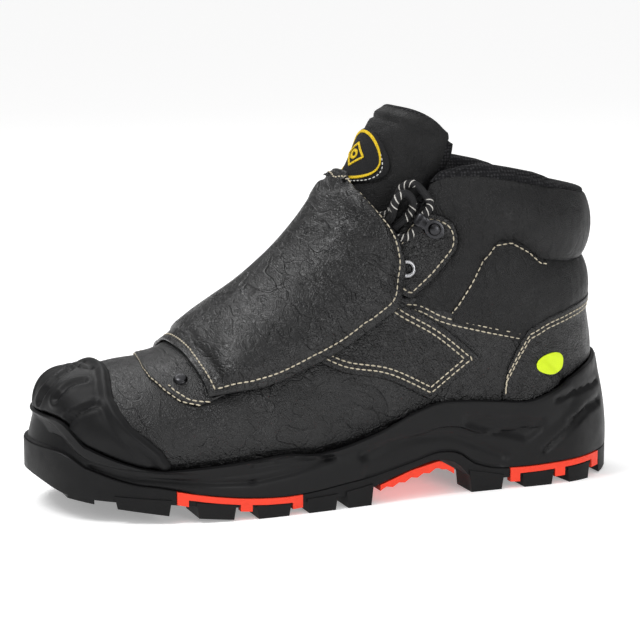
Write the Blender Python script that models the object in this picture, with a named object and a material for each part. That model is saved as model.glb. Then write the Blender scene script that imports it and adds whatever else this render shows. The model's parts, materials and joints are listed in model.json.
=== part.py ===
"""Metatarsal guard work boot, left foot.

Metres, +Z up. The boot stands on its lugs at z = 0, the toe points to -X and
the outer (lateral) side faces -Y. The origin is the centre of the footprint.
"""

import math

import bmesh
import bpy
import numpy as np
from mathutils import Vector
from mathutils.bvhtree import BVHTree
from mathutils.geometry import delaunay_2d_cdt

# Driving sizes
SOLE_LENGTH = 0.3035
BALL_WIDTH = 0.107
COLLAR_HEIGHT = 0.160
TONGUE_HEIGHT = 0.1915
TOE_SPRING = 0.0135
HEEL_BEVEL = 0.003

# Walls and sheets
LEATHER = 0.0022
COLLAR_PADDING = 0.0085
TONGUE_PADDING = 0.0085
OVERLAY = 0.0015
STRAP_THICKNESS = 0.0016
BUMPER_THICKNESS = 0.0030
COUNTER_THICKNESS = 0.0018
GUARD_THICKNESS = 0.0042
INSOLE_THICKNESS = 0.0042
INSOLE_EASE = 0.0028
RIM_THICKNESS = 0.0030
SHANK_THICKNESS = 0.0040
FRAME_DEPTH = 0.0040
FRAME_BAR = 0.0032
FRAME_INSET = 0.0006
LABEL_THICKNESS = 0.0012
PATCH_THICKNESS = 0.0010

# Clearances between pieces that touch
GAP = 0.0003
CURVED_GAP = 0.0005
OVERLAY_GAP = 0.0009
CUP_GAP = 0.0022

# Fittings
LACE_DIAMETER = 0.0040
EYELET_RADIUS = 0.0036
EYELET_WIRE = 0.0010
RIVET_RADIUS = 0.0034
RIVET_HEIGHT = 0.0022

HALF_LENGTH = SOLE_LENGTH / 2
HALF_BALL = BALL_WIDTH / 2
RIGHT_ANGLE = math.pi / 2
LATERAL, MEDIAL = -1, 1

# Sections of the upper from the toe tip back to the topline. Each runs from its
# front (the vamp ridge, then the edge of the throat) to its base (the feather
# line, then the back seam). x is a share of HALF_LENGTH, z and hump of
# COLLAR_HEIGHT, widths of HALF_BALL. base is the share of the width left at
# the feather line, full_at the share of the way down where it is widest.
SECTION_COLUMNS = (
    "base_x", "base_z", "front_x", "front_z", "lateral", "medial",
    "base", "full_at", "edge", "centre", "hump",
)
SECTIONS = (
    (-0.932, 0.175, -0.945, 0.319, 0.000, 0.000, 0.86, 0.60, 0.000, 0.110, 0.000),
    (-0.915, 0.170, -0.928, 0.362, 0.330, 0.300, 0.86, 0.60, 0.000, 0.110, 0.000),
    (-0.862, 0.156, -0.884, 0.391, 0.617, 0.560, 0.86, 0.60, 0.000, 0.110, 0.000),
    (-0.782, 0.140, -0.802, 0.403, 0.820, 0.710, 0.86, 0.60, 0.000, 0.110, 0.000),
    (-0.680, 0.122, -0.693, 0.424, 0.935, 0.776, 0.86, 0.60, 0.000, 0.110, 0.000),
    (-0.523, 0.113, -0.536, 0.447, 1.000, 0.820, 0.86, 0.62, 0.000, 0.095, 0.000),
    (-0.340, 0.113, -0.360, 0.544, 1.010, 0.810, 0.86, 0.64, 0.000, 0.090, 0.000),
    (-0.144, 0.125, -0.203, 0.588, 0.935, 0.766, 0.84, 0.66, 0.240, 0.075, 0.000),
    (0.065, 0.150, -0.098, 0.650, 0.840, 0.730, 0.84, 0.64, 0.320, 0.055, 0.000),
    (0.294, 0.175, -0.013, 0.706, 0.766, 0.690, 0.85, 0.62, 0.370, 0.035, 0.000),
    (0.523, 0.184, 0.065, 0.762, 0.720, 0.680, 0.85, 0.60, 0.410, 0.020, 0.000),
    (0.693, 0.188, 0.124, 0.794, 0.700, 0.690, 0.84, 0.58, 0.450, 0.000, 0.000),
    (0.810, 0.190, 0.163, 0.819, 0.700, 0.690, 0.82, 0.55, 0.470, 0.000, 0.000),
    (0.879, 0.200, 0.190, 0.838, 0.700, 0.700, 0.80, 0.50, 0.475, 0.000, 0.000),
    (0.908, 0.281, 0.209, 0.856, 0.700, 0.700, 0.00, 0.50, 0.480, 0.000, 0.000),
    (0.915, 0.400, 0.225, 0.875, 0.705, 0.705, 0.00, 0.50, 0.485, 0.000, 0.010),
    (0.889, 0.562, 0.242, 0.894, 0.715, 0.715, 0.00, 0.50, 0.490, 0.000, 0.030),
    (0.876, 0.738, 0.255, 0.906, 0.730, 0.730, 0.00, 0.50, 0.495, 0.000, 0.055),
    (0.866, 0.906, 0.268, 0.919, 0.740, 0.740, 0.00, 0.50, 0.500, 0.000, 0.075),
)
TOPLINE = len(SECTIONS) - 1
THROAT = 6
HEEL_CORNER = 13
HEEL_CENTRE = 0.62
HUMP_SKEW = 0.45
TOP_ROUNDNESS = 0.90
FULL_SPLIT = 0.55

# Outline of the sole seen from above, from the toe tip to the back of the heel:
# x as a share of HALF_LENGTH, the rest as shares of HALF_BALL.
OUTLINE_COLUMNS = ("x", "centre", "lateral", "medial")
OUTLINE = (
    (-1.000, 0.103, 0.000, 0.000),
    (-0.977, 0.103, 0.318, 0.318),
    (-0.908, 0.103, 0.617, 0.598),
    (-0.801, 0.103, 0.841, 0.794),
    (-0.654, 0.093, 0.991, 0.897),
    (-0.490, 0.075, 1.065, 0.925),
    (-0.327, 0.056, 1.056, 0.925),
    (-0.131, 0.037, 0.981, 0.804),
    (0.078, 0.019, 0.879, 0.701),
    (0.294, 0.009, 0.776, 0.664),
    (0.490, 0.000, 0.729, 0.673),
    (0.654, 0.000, 0.720, 0.701),
    (0.797, 0.000, 0.664, 0.664),
    (0.908, 0.000, 0.486, 0.486),
    (0.977, 0.000, 0.252, 0.252),
    (1.000, 0.000, 0.000, 0.000),
)
HEEL_TIP = len(OUTLINE) - 1

# Heights along the sole, as shares of COLLAR_HEIGHT at shares of HALF_LENGTH:
# the rim is the midsole's top edge, the joint is where it meets the outsole,
# and the tread is the outsole's underside between the lugs.
HEIGHT_COLUMNS = ("x", "rim", "joint", "tread")
HEIGHTS = (
    (-1.00, 0.300, 0.212, 0.120),
    (-0.93, 0.290, 0.200, 0.080),
    (-0.87, 0.230, 0.160, 0.070),
    (-0.74, 0.178, 0.120, 0.062),
    (-0.65, 0.160, 0.106, 0.058),
    (-0.54, 0.164, 0.084, 0.048),
    (-0.38, 0.174, 0.065, 0.036),
    (-0.25, 0.184, 0.058, 0.034),
    (-0.15, 0.174, 0.064, 0.034),
    (-0.05, 0.186, 0.076, 0.037),
    (0.04, 0.208, 0.086, 0.050),
    (0.11, 0.232, 0.100, 0.072),
    (0.20, 0.270, 0.118, 0.096),
    (0.29, 0.294, 0.136, 0.112),
    (0.36, 0.294, 0.128, 0.092),
    (0.42, 0.290, 0.090, 0.036),
    (0.50, 0.282, 0.068, 0.034),
    (0.61, 0.275, 0.066, 0.034),
    (0.69, 0.294, 0.068, 0.034),
    (0.77, 0.325, 0.072, 0.035),
    (0.86, 0.356, 0.076, 0.040),
    (1.00, 0.388, 0.086, 0.052),
)

# The seam across the ankle padding and the top edge of the quarter,
# as shares of HALF_LENGTH and COLLAR_HEIGHT.
PAD_SEAM = ((0.34, 0.560), (0.40, 0.640), (0.45, 0.715), (0.50, 0.745), (0.56, 0.750),
            (0.62, 0.715), (0.67, 0.690), (0.76, 0.690), (0.90, 0.706))
QUARTER_TOP = ((0.18, 0.600), (0.27, 0.581), (0.41, 0.537), (0.59, 0.481), (0.90, 0.550))
COLLAR_PUFF = 0.0050
ANKLE_PUFF = 0.0030
SHAFT_AXIS = 0.575 * HALF_LENGTH


def smooth_step(value, low, high):
    """Rises smoothly from 0 at low to 1 at high."""
    t = min(max((value - low) / (high - low), 0.0), 1.0)
    return t * t * (3 - 2 * t)


def read_row(table, position, odd=(), mirror_end=False):
    """Catmull-Rom value of each column at a row position. Odd columns change sign past a closed tip."""
    last = len(table) - 1
    i = min(max(int(position), 0), last - 1)
    t = position - i
    flip = np.array([-1.0 if k in odd else 1.0 for k in range(len(table[0]))])
    p1, p2 = np.array(table[i]), np.array(table[i + 1])
    p0 = np.array(table[i - 1]) if i > 0 else (p2 * flip if odd else 2 * p1 - p2)
    if i + 2 <= last:
        p3 = np.array(table[i + 2])
    else:
        p3 = p1 * flip if mirror_end else 2 * p2 - p1
    return 0.5 * (
        2 * p1 + (p2 - p0) * t + (2 * p0 - 5 * p1 + 4 * p2 - p3) * t * t
        + (3 * p1 - p0 - 3 * p2 + p3) * t ** 3
    )


def line_height(points, x):
    """Height of a line given as shares of HALF_LENGTH and COLLAR_HEIGHT, at x."""
    shares = np.array(points)
    return float(np.interp(x / HALF_LENGTH, shares[:, 0], shares[:, 1])) * COLLAR_HEIGHT


def sole_height(name, x):
    """Height of one of the HEIGHTS columns at x, read as a smooth curve."""
    shares = np.array([row[0] for row in HEIGHTS])
    share = min(max(x / HALF_LENGTH, -1.0), 1.0)
    i = int(min(np.searchsorted(shares, share, side="right") - 1, len(HEIGHTS) - 2))
    position = i + (share - shares[i]) / (shares[i + 1] - shares[i])
    return read_row(HEIGHTS, position)[HEIGHT_COLUMNS.index(name)] * COLLAR_HEIGHT


def ground(x):
    """Height of the lugs' undersides: flat, with toe spring and a bevel at the back of the heel."""
    spring_start, bevel_start = -0.34 * HALF_LENGTH, 0.88 * HALF_LENGTH
    toe = max(0.0, (spring_start - x) / (spring_start + HALF_LENGTH)) ** 1.5
    heel = max(0.0, (x - bevel_start) / (HALF_LENGTH - bevel_start)) ** 1.5
    return TOE_SPRING * toe + HEEL_BEVEL * heel


def puff(x, z):
    """How far the collar and ankle padding swell outwards."""
    seam, edge = line_height(PAD_SEAM, x), line_height(QUARTER_TOP, x)
    top = 0.93 * COLLAR_HEIGHT
    front = smooth_step(x, 0.30 * HALF_LENGTH, 0.50 * HALF_LENGTH)
    if z > seam:
        share = min((z - seam) / max(top - seam, 0.01), 1.0)
        return COLLAR_PUFF * front * math.sin(math.pi * share) ** 0.7
    if z > edge:
        return ANKLE_PUFF * front * math.sin(math.pi * (z - edge) / max(seam - edge, 0.005)) ** 0.7
    return 0.0


def skin(row, s, side):
    """A point on the upper's outside. s runs from the front (0) to the base (1) of the section at this row."""
    c = dict(zip(SECTION_COLUMNS, read_row(SECTIONS, row, odd=(4, 5))))
    wide = max(c["lateral"] if side == LATERAL else c["medial"], 0.0)
    start = math.asin(min(c["edge"] / wide, 0.95)) if row > THROAT and wide > 0 else 0.0
    heel_start = HEEL_CENTRE
    closing = max(0.0, (c["base_x"] - heel_start) / (SECTIONS[HEEL_CORNER][0] - heel_start))
    base = c["base"] * math.sqrt(max(0.0, 1 - closing ** 2)) if row < HEEL_CORNER else 0.0
    if s < FULL_SPLIT:
        angle = start + (RIGHT_ANGLE - start) * s / FULL_SPLIT
        along = c["full_at"] * (math.cos(start) - math.cos(angle)) / math.cos(start)
        out = wide * math.sin(angle) ** TOP_ROUNDNESS
    else:
        angle = RIGHT_ANGLE * (s - FULL_SPLIT) / (1 - FULL_SPLIT)
        along = c["full_at"] + (1 - c["full_at"]) * math.sin(angle)
        out = wide * (base + (1 - base) * math.cos(angle))
    x = (c["front_x"] + (c["base_x"] - c["front_x"]) * along) * HALF_LENGTH
    z = c["front_z"] + (c["base_z"] - c["front_z"]) * along
    z = (z + c["hump"] * math.sin(math.pi * min(along, 1.0) ** HUMP_SKEW)) * COLLAR_HEIGHT
    y = (c["centre"] + side * out) * HALF_BALL
    swell = puff(x, z)
    if swell > 0:
        away = Vector((x - SHAFT_AXIS, y))
        away = away.normalized() * swell if away.length > 0.001 else Vector((0, 0))
        x, y = x + away.x, y + away.y
    return Vector((x, y, z))


def sole_outline(position, side, inset=0.0):
    """A point (x, y) on the sole's outline, moved in towards its spine by inset."""
    x, centre, lateral, medial = read_row(OUTLINE, position, odd=(2, 3), mirror_end=True)
    wide = lateral if side == LATERAL else medial
    point = Vector((x * HALF_LENGTH, (centre + side * max(wide, 0.0)) * HALF_BALL))
    return point + (spine(point.x) - point).normalized() * inset


def spine(x):
    """The middle of the sole nearest a station, from which walls are measured."""
    share = min(max(x / HALF_LENGTH, -0.69), 0.74)
    shares = [row[0] for row in OUTLINE]
    centre = float(np.interp(share, shares, [row[1] for row in OUTLINE]))
    return Vector((share * HALF_LENGTH, centre * HALF_BALL))


def stations(step=0.5):
    """Stations round the sole's outline, tip to heel along the lateral side and back along the medial."""
    count = int(round(HEEL_TIP / step))
    there = [(i * step, LATERAL) for i in range(count + 1)]
    back = [(i * step, MEDIAL) for i in range(count - 1, 0, -1)]
    return there + back


# Mesh helpers


def material(name, colour, roughness, metallic=0.0):
    made = bpy.data.materials.get(name) or bpy.data.materials.new(name)
    made.use_nodes = True
    shader = made.node_tree.nodes["Principled BSDF"]
    shader.inputs["Base Color"].default_value = (*colour, 1.0)
    shader.inputs["Roughness"].default_value = roughness
    shader.inputs["Metallic"].default_value = metallic
    return made


def place(name, points, faces, look, sharp=40.0):
    """Makes a mesh object, welded, with its faces pointing out."""
    mesh = bpy.data.meshes.new(name)
    mesh.from_pydata([tuple(p) for p in points], [], faces)
    work = bmesh.new()
    work.from_mesh(mesh)
    bmesh.ops.remove_doubles(work, verts=work.verts, dist=1e-6)
    bmesh.ops.dissolve_degenerate(work, edges=work.edges, dist=1e-6)
    bmesh.ops.recalc_face_normals(work, faces=work.faces)
    work.to_mesh(mesh)
    work.free()
    mesh.materials.append(material(*look))
    mesh.shade_smooth()
    mesh.set_sharp_from_angle(angle=math.radians(sharp))
    made = bpy.data.objects.new(name, mesh)
    bpy.context.scene.collection.objects.link(made)
    return made


def welded(points, faces, within=2e-6):
    """Merges points that coincide and drops the faces that collapse."""
    keys, index, kept = {}, [], []
    for p in points:
        key = tuple(int(round(v / within)) for v in p)
        if key not in keys:
            keys[key] = len(kept)
            kept.append(Vector(p))
        index.append(keys[key])
    whole = []
    for face in faces:
        ring = []
        for v in face:
            if index[v] not in ring:
                ring.append(index[v])
        if len(ring) > 2:
            whole.append(ring)
    return kept, whole


def vertex_normals(points, faces):
    normals = [Vector((0, 0, 0)) for _ in points]
    for face in faces:
        area = Vector((0, 0, 0))
        for a, b in zip(face, face[1:] + face[:1]):
            area += points[a].cross(points[b])
        for v in face:
            normals[v] += area
    return [n.normalized() for n in normals]


def border_edges(faces):
    """The directed edges that belong to one face only."""
    seen = {}
    for face in faces:
        for a, b in zip(face, face[1:] + face[:1]):
            seen[(a, b)] = True
    return [edge for edge in seen if (edge[1], edge[0]) not in seen]


def sheet(points, faces, thickness, lift=0.0, rim_steps=1):
    """Turns an open surface into a closed wall: its outside is lifted by lift plus thickness
    along the normals, its inside by lift. thickness may be a list. Rims are rounded in rim_steps."""
    points, faces = welded(points, faces)
    normals = vertex_normals(points, faces)
    depth = thickness if isinstance(thickness, list) else [thickness] * len(points)
    outer = [p + n * (lift + d) for p, n, d in zip(points, normals, depth)]
    inner = [p + n * lift for p, n in zip(points, normals)]
    made = outer + inner
    count = len(points)
    walls = [list(face) for face in faces] + [[v + count for v in reversed(face)] for face in faces]
    borders = border_edges(faces)
    outwards = [Vector((0, 0, 0)) for _ in points]
    for a, b in borders:
        away = (points[b] - points[a]).cross(normals[a] + normals[b])
        for v in (a, b):
            outwards[v] += away.normalized()
    rings = {}
    for v in {v for edge in borders for v in edge}:
        ring = [v]
        for k in range(1, rim_steps):
            angle = math.pi * k / rim_steps
            middle = (outer[v] + inner[v]) / 2
            reach = outwards[v].normalized() * math.sin(angle) + normals[v] * math.cos(angle)
            made.append(middle + reach * depth[v] / 2)
            ring.append(len(made) - 1)
        rings[v] = ring + [v + count]
    for a, b in borders:
        for k in range(rim_steps):
            walls.append([rings[a][k], rings[a][k + 1], rings[b][k + 1], rings[b][k]])
    return made, walls


def grid_faces(rows, columns, closed=False):
    """Quads over a grid of rows by columns; closed joins the last column to the first."""
    faces = []
    for r in range(rows - 1):
        for c in range(columns if closed else columns - 1):
            d = (c + 1) % columns
            faces.append([r * columns + c, r * columns + d, (r + 1) * columns + d, (r + 1) * columns + c])
    return faces


def across(loop):
    """Faces that fill a loop of stations by joining its lateral points to its medial ones."""
    count = len(loop)
    faces = [[loop[0], loop[1], loop[-1]]]
    for i in range(1, count // 2 - 1):
        faces.append([loop[i], loop[i + 1], loop[count - i - 1], loop[count - i]])
    middle = count // 2
    faces.append([loop[middle - 1], loop[middle], loop[middle + 1]])
    return faces


def combine(target, tool, operation):
    """Applies a Boolean to target's mesh and removes the tool."""
    modifier = target.modifiers.new("shape", "BOOLEAN")
    modifier.operation = operation
    modifier.solver = "EXACT"
    modifier.object = tool
    graph = bpy.context.evaluated_depsgraph_get()
    result = bpy.data.meshes.new_from_object(target.evaluated_get(graph))
    target.modifiers.clear()
    old = target.data
    target.data = result
    bpy.data.meshes.remove(old)
    bpy.data.objects.remove(tool)
    return target


# The upper


SKIN_SHARES = (0.0, 0.12, 0.26, 0.40, 0.53, 0.65, 0.76, 0.86, 0.94, 1.0)


def upper_grid(rows, shares):
    """The upper's outside as points and quads: lateral base to front, then front to medial base."""
    points, faces = [], []
    columns = len(shares) - 1
    width = 2 * len(shares)
    for row in rows:
        points += [skin(row, s, LATERAL) for s in reversed(shares)]
        points += [skin(row, s, MEDIAL) for s in shares]
    for r in range(len(rows) - 1):
        for c in range(width - 1):
            if c == columns:
                continue
            a = r * width + c
            faces.append([a, a + width, a + width + 1, a + 1])
    return points, faces


def upper_skin():
    """The upper's outside as it is built, and a tree of it for the pieces that lie on it."""
    rows = [0, 0.5, 1, 1.5, 2, 3, 4, 5, 6, 6.5, 7, 8, 9, 10, 11]
    rows += [12 + k / 2 for k in range(2 * (TOPLINE - 12) + 1)]
    points, faces = welded(*upper_grid(rows, SKIN_SHARES))
    return points, faces, BVHTree.FromPolygons(points, faces)


def wall_depth(point):
    """The upper's wall: leather below, padded round the ankle and thin again along the throat."""
    up = smooth_step(point.z, 0.52 * COLLAR_HEIGHT, 0.74 * COLLAR_HEIGHT)
    back = smooth_step(point.x, 0.28 * HALF_LENGTH, 0.48 * HALF_LENGTH)
    return LEATHER + (COLLAR_PADDING - LEATHER) * up * back


def make_upper(points, faces):
    depth = [wall_depth(p) for p in points]
    normals = vertex_normals(points, faces)
    inside = [p - n * d for p, n, d in zip(points, normals, depth)]
    made, walls = sheet(inside, faces, depth, rim_steps=3)
    for i, p in enumerate(points):
        made[i] = p
    return place("upper", made, walls, ("black_leather", (0.018, 0.018, 0.02), 0.45))


# Lookups on the upper


def hit(tree, origin, direction):
    found = tree.ray_cast(Vector(origin), Vector(direction).normalized())
    return (found[0], found[1]) if found[0] is not None else (None, None)


def side_point(tree, x, z, side):
    """The point of the upper's side at (x, z), with its outward normal."""
    point, normal = hit(tree, (x, side * 0.2, z), (0, -side, 0))
    if point is None:
        raise ValueError(f"nothing of the upper at x {x:.4f}, z {z:.4f}")
    return point, normal if normal.y * side > 0 else -normal


def reach(tree, station, side, z):
    """Distance from the sole's spine to the upper's outside at a station and height."""
    edge = sole_outline(station, side)
    middle = spine(edge.x)
    away = (edge - middle).normalized()
    start = middle + away * 0.2
    point, _ = hit(tree, (start.x, start.y, z), (-away.x, -away.y, 0))
    return (Vector((point.x, point.y)) - middle).length if point else None


def rim_over(point, side):
    """Height of the midsole's rim where it passes a point of the upper."""
    best, found = 1.0, 0.0
    spot = Vector((point.x, point.y))
    for k in range(4 * HEEL_TIP + 1):
        edge = sole_outline(k / 4, side)
        middle = spine(edge.x)
        along = (edge - middle).normalized()
        off = spot - middle - along * along.dot(spot - middle)
        if off.length < best and along.dot(spot - middle) > 0:
            best, found = off.length, edge.x
    return sole_height("rim", found)


def base_height(x):
    """Height of the upper's feather line at x."""
    rows = [row for row in SECTIONS[: HEEL_CORNER + 1]]
    xs, zs = [row[0] for row in rows], [row[1] for row in rows]
    return float(np.interp(x / HALF_LENGTH, xs, zs)) * COLLAR_HEIGHT


def side_patch(tree, outline, side, lift, thickness, spacing=0.009):
    """A thin piece lying on the upper, whose outline is given in side view as shares of HALF_LENGTH and COLLAR_HEIGHT."""
    corners = [Vector((x * HALF_LENGTH, z * COLLAR_HEIGHT)) for x, z in outline]
    edge = []
    for a, b in zip(corners, corners[1:] + corners[:1]):
        pieces = max(1, round((b - a).length / spacing))
        edge += [a.lerp(b, k / pieces) for k in range(pieces)]
    low = [min(p[k] for p in edge) for k in (0, 1)]
    high = [max(p[k] for p in edge) for k in (0, 1)]
    inner = []
    for i in range(1, int((high[0] - low[0]) / spacing) + 1):
        for j in range(1, int((high[1] - low[1]) / spacing) + 1):
            p = Vector((low[0] + i * spacing, low[1] + j * spacing))
            if inside_ring(p, edge) and min((p - q).length for q in edge) > 0.55 * spacing:
                inner.append(p)
    flat = edge + inner
    ring = [[i, (i + 1) % len(edge)] for i in range(len(edge))]
    verts, _, faces, *_ = delaunay_2d_cdt(flat, ring, [], 1, 1e-7)
    points = [side_point(tree, v.x, v.y, side)[0] for v in verts]
    faces = [list(f) for f in faces]
    if vertex_normals(points, faces)[0].y * side < 0:
        faces = [list(reversed(f)) for f in faces]
    return sheet(points, faces, thickness, lift)


def inside_ring(point, ring):
    """Whether a flat point lies inside a closed ring of points."""
    found = False
    for a, b in zip(ring, ring[1:] + ring[:1]):
        if (a.y > point.y) != (b.y > point.y):
            if point.x < a.x + (point.y - a.y) / (b.y - a.y) * (b.x - a.x):
                found = not found
    return found


# Toe, heel and instep pieces on the upper

# The back edge of the toe bumper: section row at shares of the way down.
BUMPER_BACK = ((0.00, 3.56), (0.14, 3.50), (0.30, 3.33), (0.44, 3.24), (0.57, 3.34), (0.68, 3.56),
               (0.77, 4.00), (0.86, 4.25), (1.00, 4.42))

# The guard tab's front edge, down to where the guard's own edge takes over.
TAB_FRONT = {
    LATERAL: ((0.00, 4.46), (0.11, 4.36), (0.19, 4.38), (0.28, 4.56), (0.34, 4.76), (0.39, 5.12)),
    MEDIAL: ((0.00, 4.46), (0.11, 4.58), (0.19, 4.66), (0.28, 4.80), (0.34, 4.98), (0.39, 5.25)),
}
TAB_BACK = 5.85
TAB_RIVET = (-0.555, 0.394)

# Edges of the sewn-on pieces in side view, as shares of HALF_LENGTH and COLLAR_HEIGHT.
STRAP_EDGE = ((-0.125, 0.450), (-0.052, 0.413), (0.098, 0.381), (0.261, 0.306), (0.431, 0.419),
              (0.294, 0.525), (0.163, 0.594), (0.095, 0.575), (-0.010, 0.512))
EYESTAY_EDGE = ((0.232, 0.856), (0.281, 0.862), (0.346, 0.831), (0.359, 0.781), (0.307, 0.700),
                (0.235, 0.637), (0.203, 0.612), (0.150, 0.650), (0.144, 0.720), (0.170, 0.785))
HOOK_AT = (0.290, 0.819)
EYELET_AT = (0.196, 0.700)

# Top edge of the heel counter by x, and the reflective strip above it.
COUNTER_TOP = ((0.516, 0.281), (0.529, 0.330), (0.556, 0.394), (0.582, 0.437), (0.627, 0.475),
               (0.699, 0.506), (0.797, 0.537), (0.920, 0.562))
STRIP_HEIGHTS = (0.580, 0.700)
STRIP_WIDTHS = (0.0120, 0.0040)

# The guard from its front edge to its top: ridge and side edge as shares of
# HALF_LENGTH and COLLAR_HEIGHT, half widths at the edge as shares of HALF_BALL
# where the edge has left the upper (0 where it lies on the upper).
GUARD_COLUMNS = ("ridge_x", "ridge_z", "edge_x", "edge_z", "width", "depth")
GUARD = (
    (-0.525, 0.478, -0.490, 0.352, 0.00, 0.50),
    (-0.495, 0.490, -0.440, 0.358, 0.00, 0.80),
    (-0.455, 0.535, -0.400, 0.364, 0.00, 1.00),
    (-0.412, 0.570, -0.340, 0.374, 0.00, 1.00),
    (-0.360, 0.606, -0.257, 0.395, 0.00, 1.00),
    (-0.291, 0.650, -0.145, 0.430, 0.00, 1.00),
    (-0.225, 0.700, -0.040, 0.476, 0.00, 1.00),
    (-0.155, 0.762, 0.060, 0.530, 0.00, 1.00),
    (-0.088, 0.833, 0.150, 0.587, 0.00, 1.00),
    (-0.040, 0.893, 0.176, 0.655, 0.00, 1.00),
    (-0.020, 0.915, 0.172, 0.740, 0.78, 0.90),
    (0.000, 0.937, 0.142, 0.835, 0.73, 0.90),
    (0.022, 0.966, 0.090, 0.915, 0.51, 0.75),
    (0.040, 0.992, 0.050, 0.975, 0.24, 0.65),
)
GUARD_LIFT = 0.0034
GUARD_SIDE_LIFT = 0.0038
GUARD_WRAP = 0.80

# The tongue from inside the vamp to its top: centre of its front as shares of
# HALF_LENGTH and TONGUE_HEIGHT, half width and depth as shares of HALF_BALL,
# and padding as a share of TONGUE_PADDING.
TONGUE = (
    (-0.405, 0.412, 0.170, 0.03, 0.30),
    (-0.300, 0.437, 0.190, 0.05, 0.35),
    (-0.210, 0.465, 0.210, 0.08, 0.45),
    (-0.143, 0.510, 0.235, 0.14, 0.60),
    (-0.092, 0.560, 0.275, 0.22, 0.75),
    (-0.039, 0.617, 0.320, 0.33, 0.90),
    (0.003, 0.675, 0.365, 0.44, 1.00),
    (0.035, 0.738, 0.405, 0.54, 1.00),
    (0.063, 0.800, 0.435, 0.60, 1.00),
    (0.088, 0.838, 0.455, 0.62, 1.00),
    (0.114, 0.883, 0.480, 0.63, 1.00),
    (0.146, 0.929, 0.500, 0.62, 1.00),
    (0.176, 0.966, 0.500, 0.59, 0.95),
    (0.206, 0.989, 0.470, 0.55, 0.80),
)
TONGUE_CENTRE = 0.03
LABEL_HEIGHT_SHARE = 0.868
LABEL_WIDTH = 0.031
LABEL_LENGTH = 0.025


def filled_patch(rows, lift, thickness, rim_steps=1):
    """A closed piece over a grid of points on a surface, row by row."""
    points = [p for row in rows for p in row]
    return sheet(points, grid_faces(len(rows), len(rows[0])), thickness, lift, rim_steps)


def facing_out(rows, centre):
    """Reverses each row if the grid's faces look towards the centre."""
    a, b, c = rows[1][1], rows[1][2], rows[2][1]
    if (b - a).cross(c - a).dot(a - centre) < 0:
        return [list(reversed(row)) for row in rows]
    return rows


INNER_AXIS = Vector((0.0, 0.0, 0.06))


def side_to_side(point_at, shares):
    """A row from the lateral base over the front to the medial base."""
    there = [point_at(s, LATERAL) for s in reversed(shares)]
    return there + [point_at(s, MEDIAL) for s in shares[1:]]


def share_at_rim(row, side):
    """How far down a section its skin comes to the midsole's rim."""
    low, high = 0.0, 1.0
    for _ in range(14):
        middle = (low + high) / 2
        p = skin(row, middle, side)
        if p.z > rim_over(p, side) + RIM_CLEARANCE:
            low = middle
        else:
            high = middle
    return (low + high) / 2


def make_bumper():
    shares = [i / 7 for i in range(8)]
    rows = []
    for k in range(10):
        def point_at(v, side, u=max(k / 9, 0.02)):
            back = float(np.interp(v, *zip(*BUMPER_BACK)))
            row = u * back
            return skin(row, v * share_at_rim(row, side), side)
        rows.append(side_to_side(point_at, shares))
    made = filled_patch(facing_out(rows, Vector((-0.10, 0.0, 0.03))), OVERLAY_GAP, BUMPER_THICKNESS)
    return place("toe_bumper", *made, ("moulded_rubber", (0.022, 0.022, 0.024), 0.6))


def make_tab():
    shares = [0.38 * i / 6 for i in range(7)]
    rows = []
    for k in range(6):
        def point_at(s, side, u=k / 5):
            front = float(np.interp(s, *zip(*TAB_FRONT[side])))
            return skin(front + (TAB_BACK - front) * u, s, side)
        rows.append(side_to_side(point_at, shares))
    made = filled_patch(facing_out(rows, INNER_AXIS), OVERLAY_GAP, STRAP_THICKNESS)
    return place("guard_tab", *made, ("black_leather", (0.018, 0.018, 0.02), 0.45))


def push_out(point, trees):
    """Moves a point out along the nearest normal until it clears each (tree, distance)."""
    for _ in range(3):
        for tree, distance in trees:
            near, normal, _, _ = tree.find_nearest(point)
            deep = (point - near).dot(normal)
            beside = (point - near - normal * deep).length
            if deep < distance and beside < 0.0015:
                point = point + normal * (distance - deep)
    return point


def guard_points(tree):
    """The guard's outer face, row by row."""
    rows = []
    across_steps = 5
    for k in range(len(GUARD)):
        c = dict(zip(GUARD_COLUMNS, GUARD[k]))
        lift = GUARD_LIFT if k < 5 else GUARD_SIDE_LIFT
        depth = GUARD_THICKNESS * c["depth"]
        edge_x, edge_z = c["edge_x"] * HALF_LENGTH, c["edge_z"] * COLLAR_HEIGHT
        ridge = Vector((c["ridge_x"] * HALF_LENGTH, 0.0026, c["ridge_z"] * COLLAR_HEIGHT))
        row = []
        for side in (LATERAL, MEDIAL):
            if c["width"] == 0:
                on, normal = side_point(tree, edge_x, edge_z, side)
                edge = on + normal * (lift + depth)
            else:
                edge = Vector((edge_x, ridge.y + side * c["width"] * HALF_BALL, edge_z))
            half = []
            for i in range(across_steps + 1):
                angle = RIGHT_ANGLE * i / across_steps
                out, down = math.sin(angle) ** GUARD_WRAP, 1 - math.cos(angle)
                p = ridge + (edge - ridge) * down
                p.y = ridge.y + (edge.y - ridge.y) * out
                half.append(push_out(p, [(tree, lift + depth)]))
            row.append(half)
        rows.append(list(reversed(row[0])) + row[1][1:])
    return rows


def make_guard(tree):
    rows = facing_out(guard_points(tree), INNER_AXIS)
    shape = [row[-1] * GUARD_THICKNESS for row in GUARD]
    points = [p for row in rows for p in row]
    faces = grid_faces(len(rows), len(rows[0]))
    depth = [shape[i // len(rows[0])] for i in range(len(points))]
    normals = vertex_normals(points, faces)
    inside = [p - n * d for p, n, d in zip(points, normals, depth)]
    made, walls = sheet(inside, faces, depth, rim_steps=3)
    return place("met_guard", made, walls, ("guard_leather", (0.02, 0.02, 0.022), 0.38))


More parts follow.
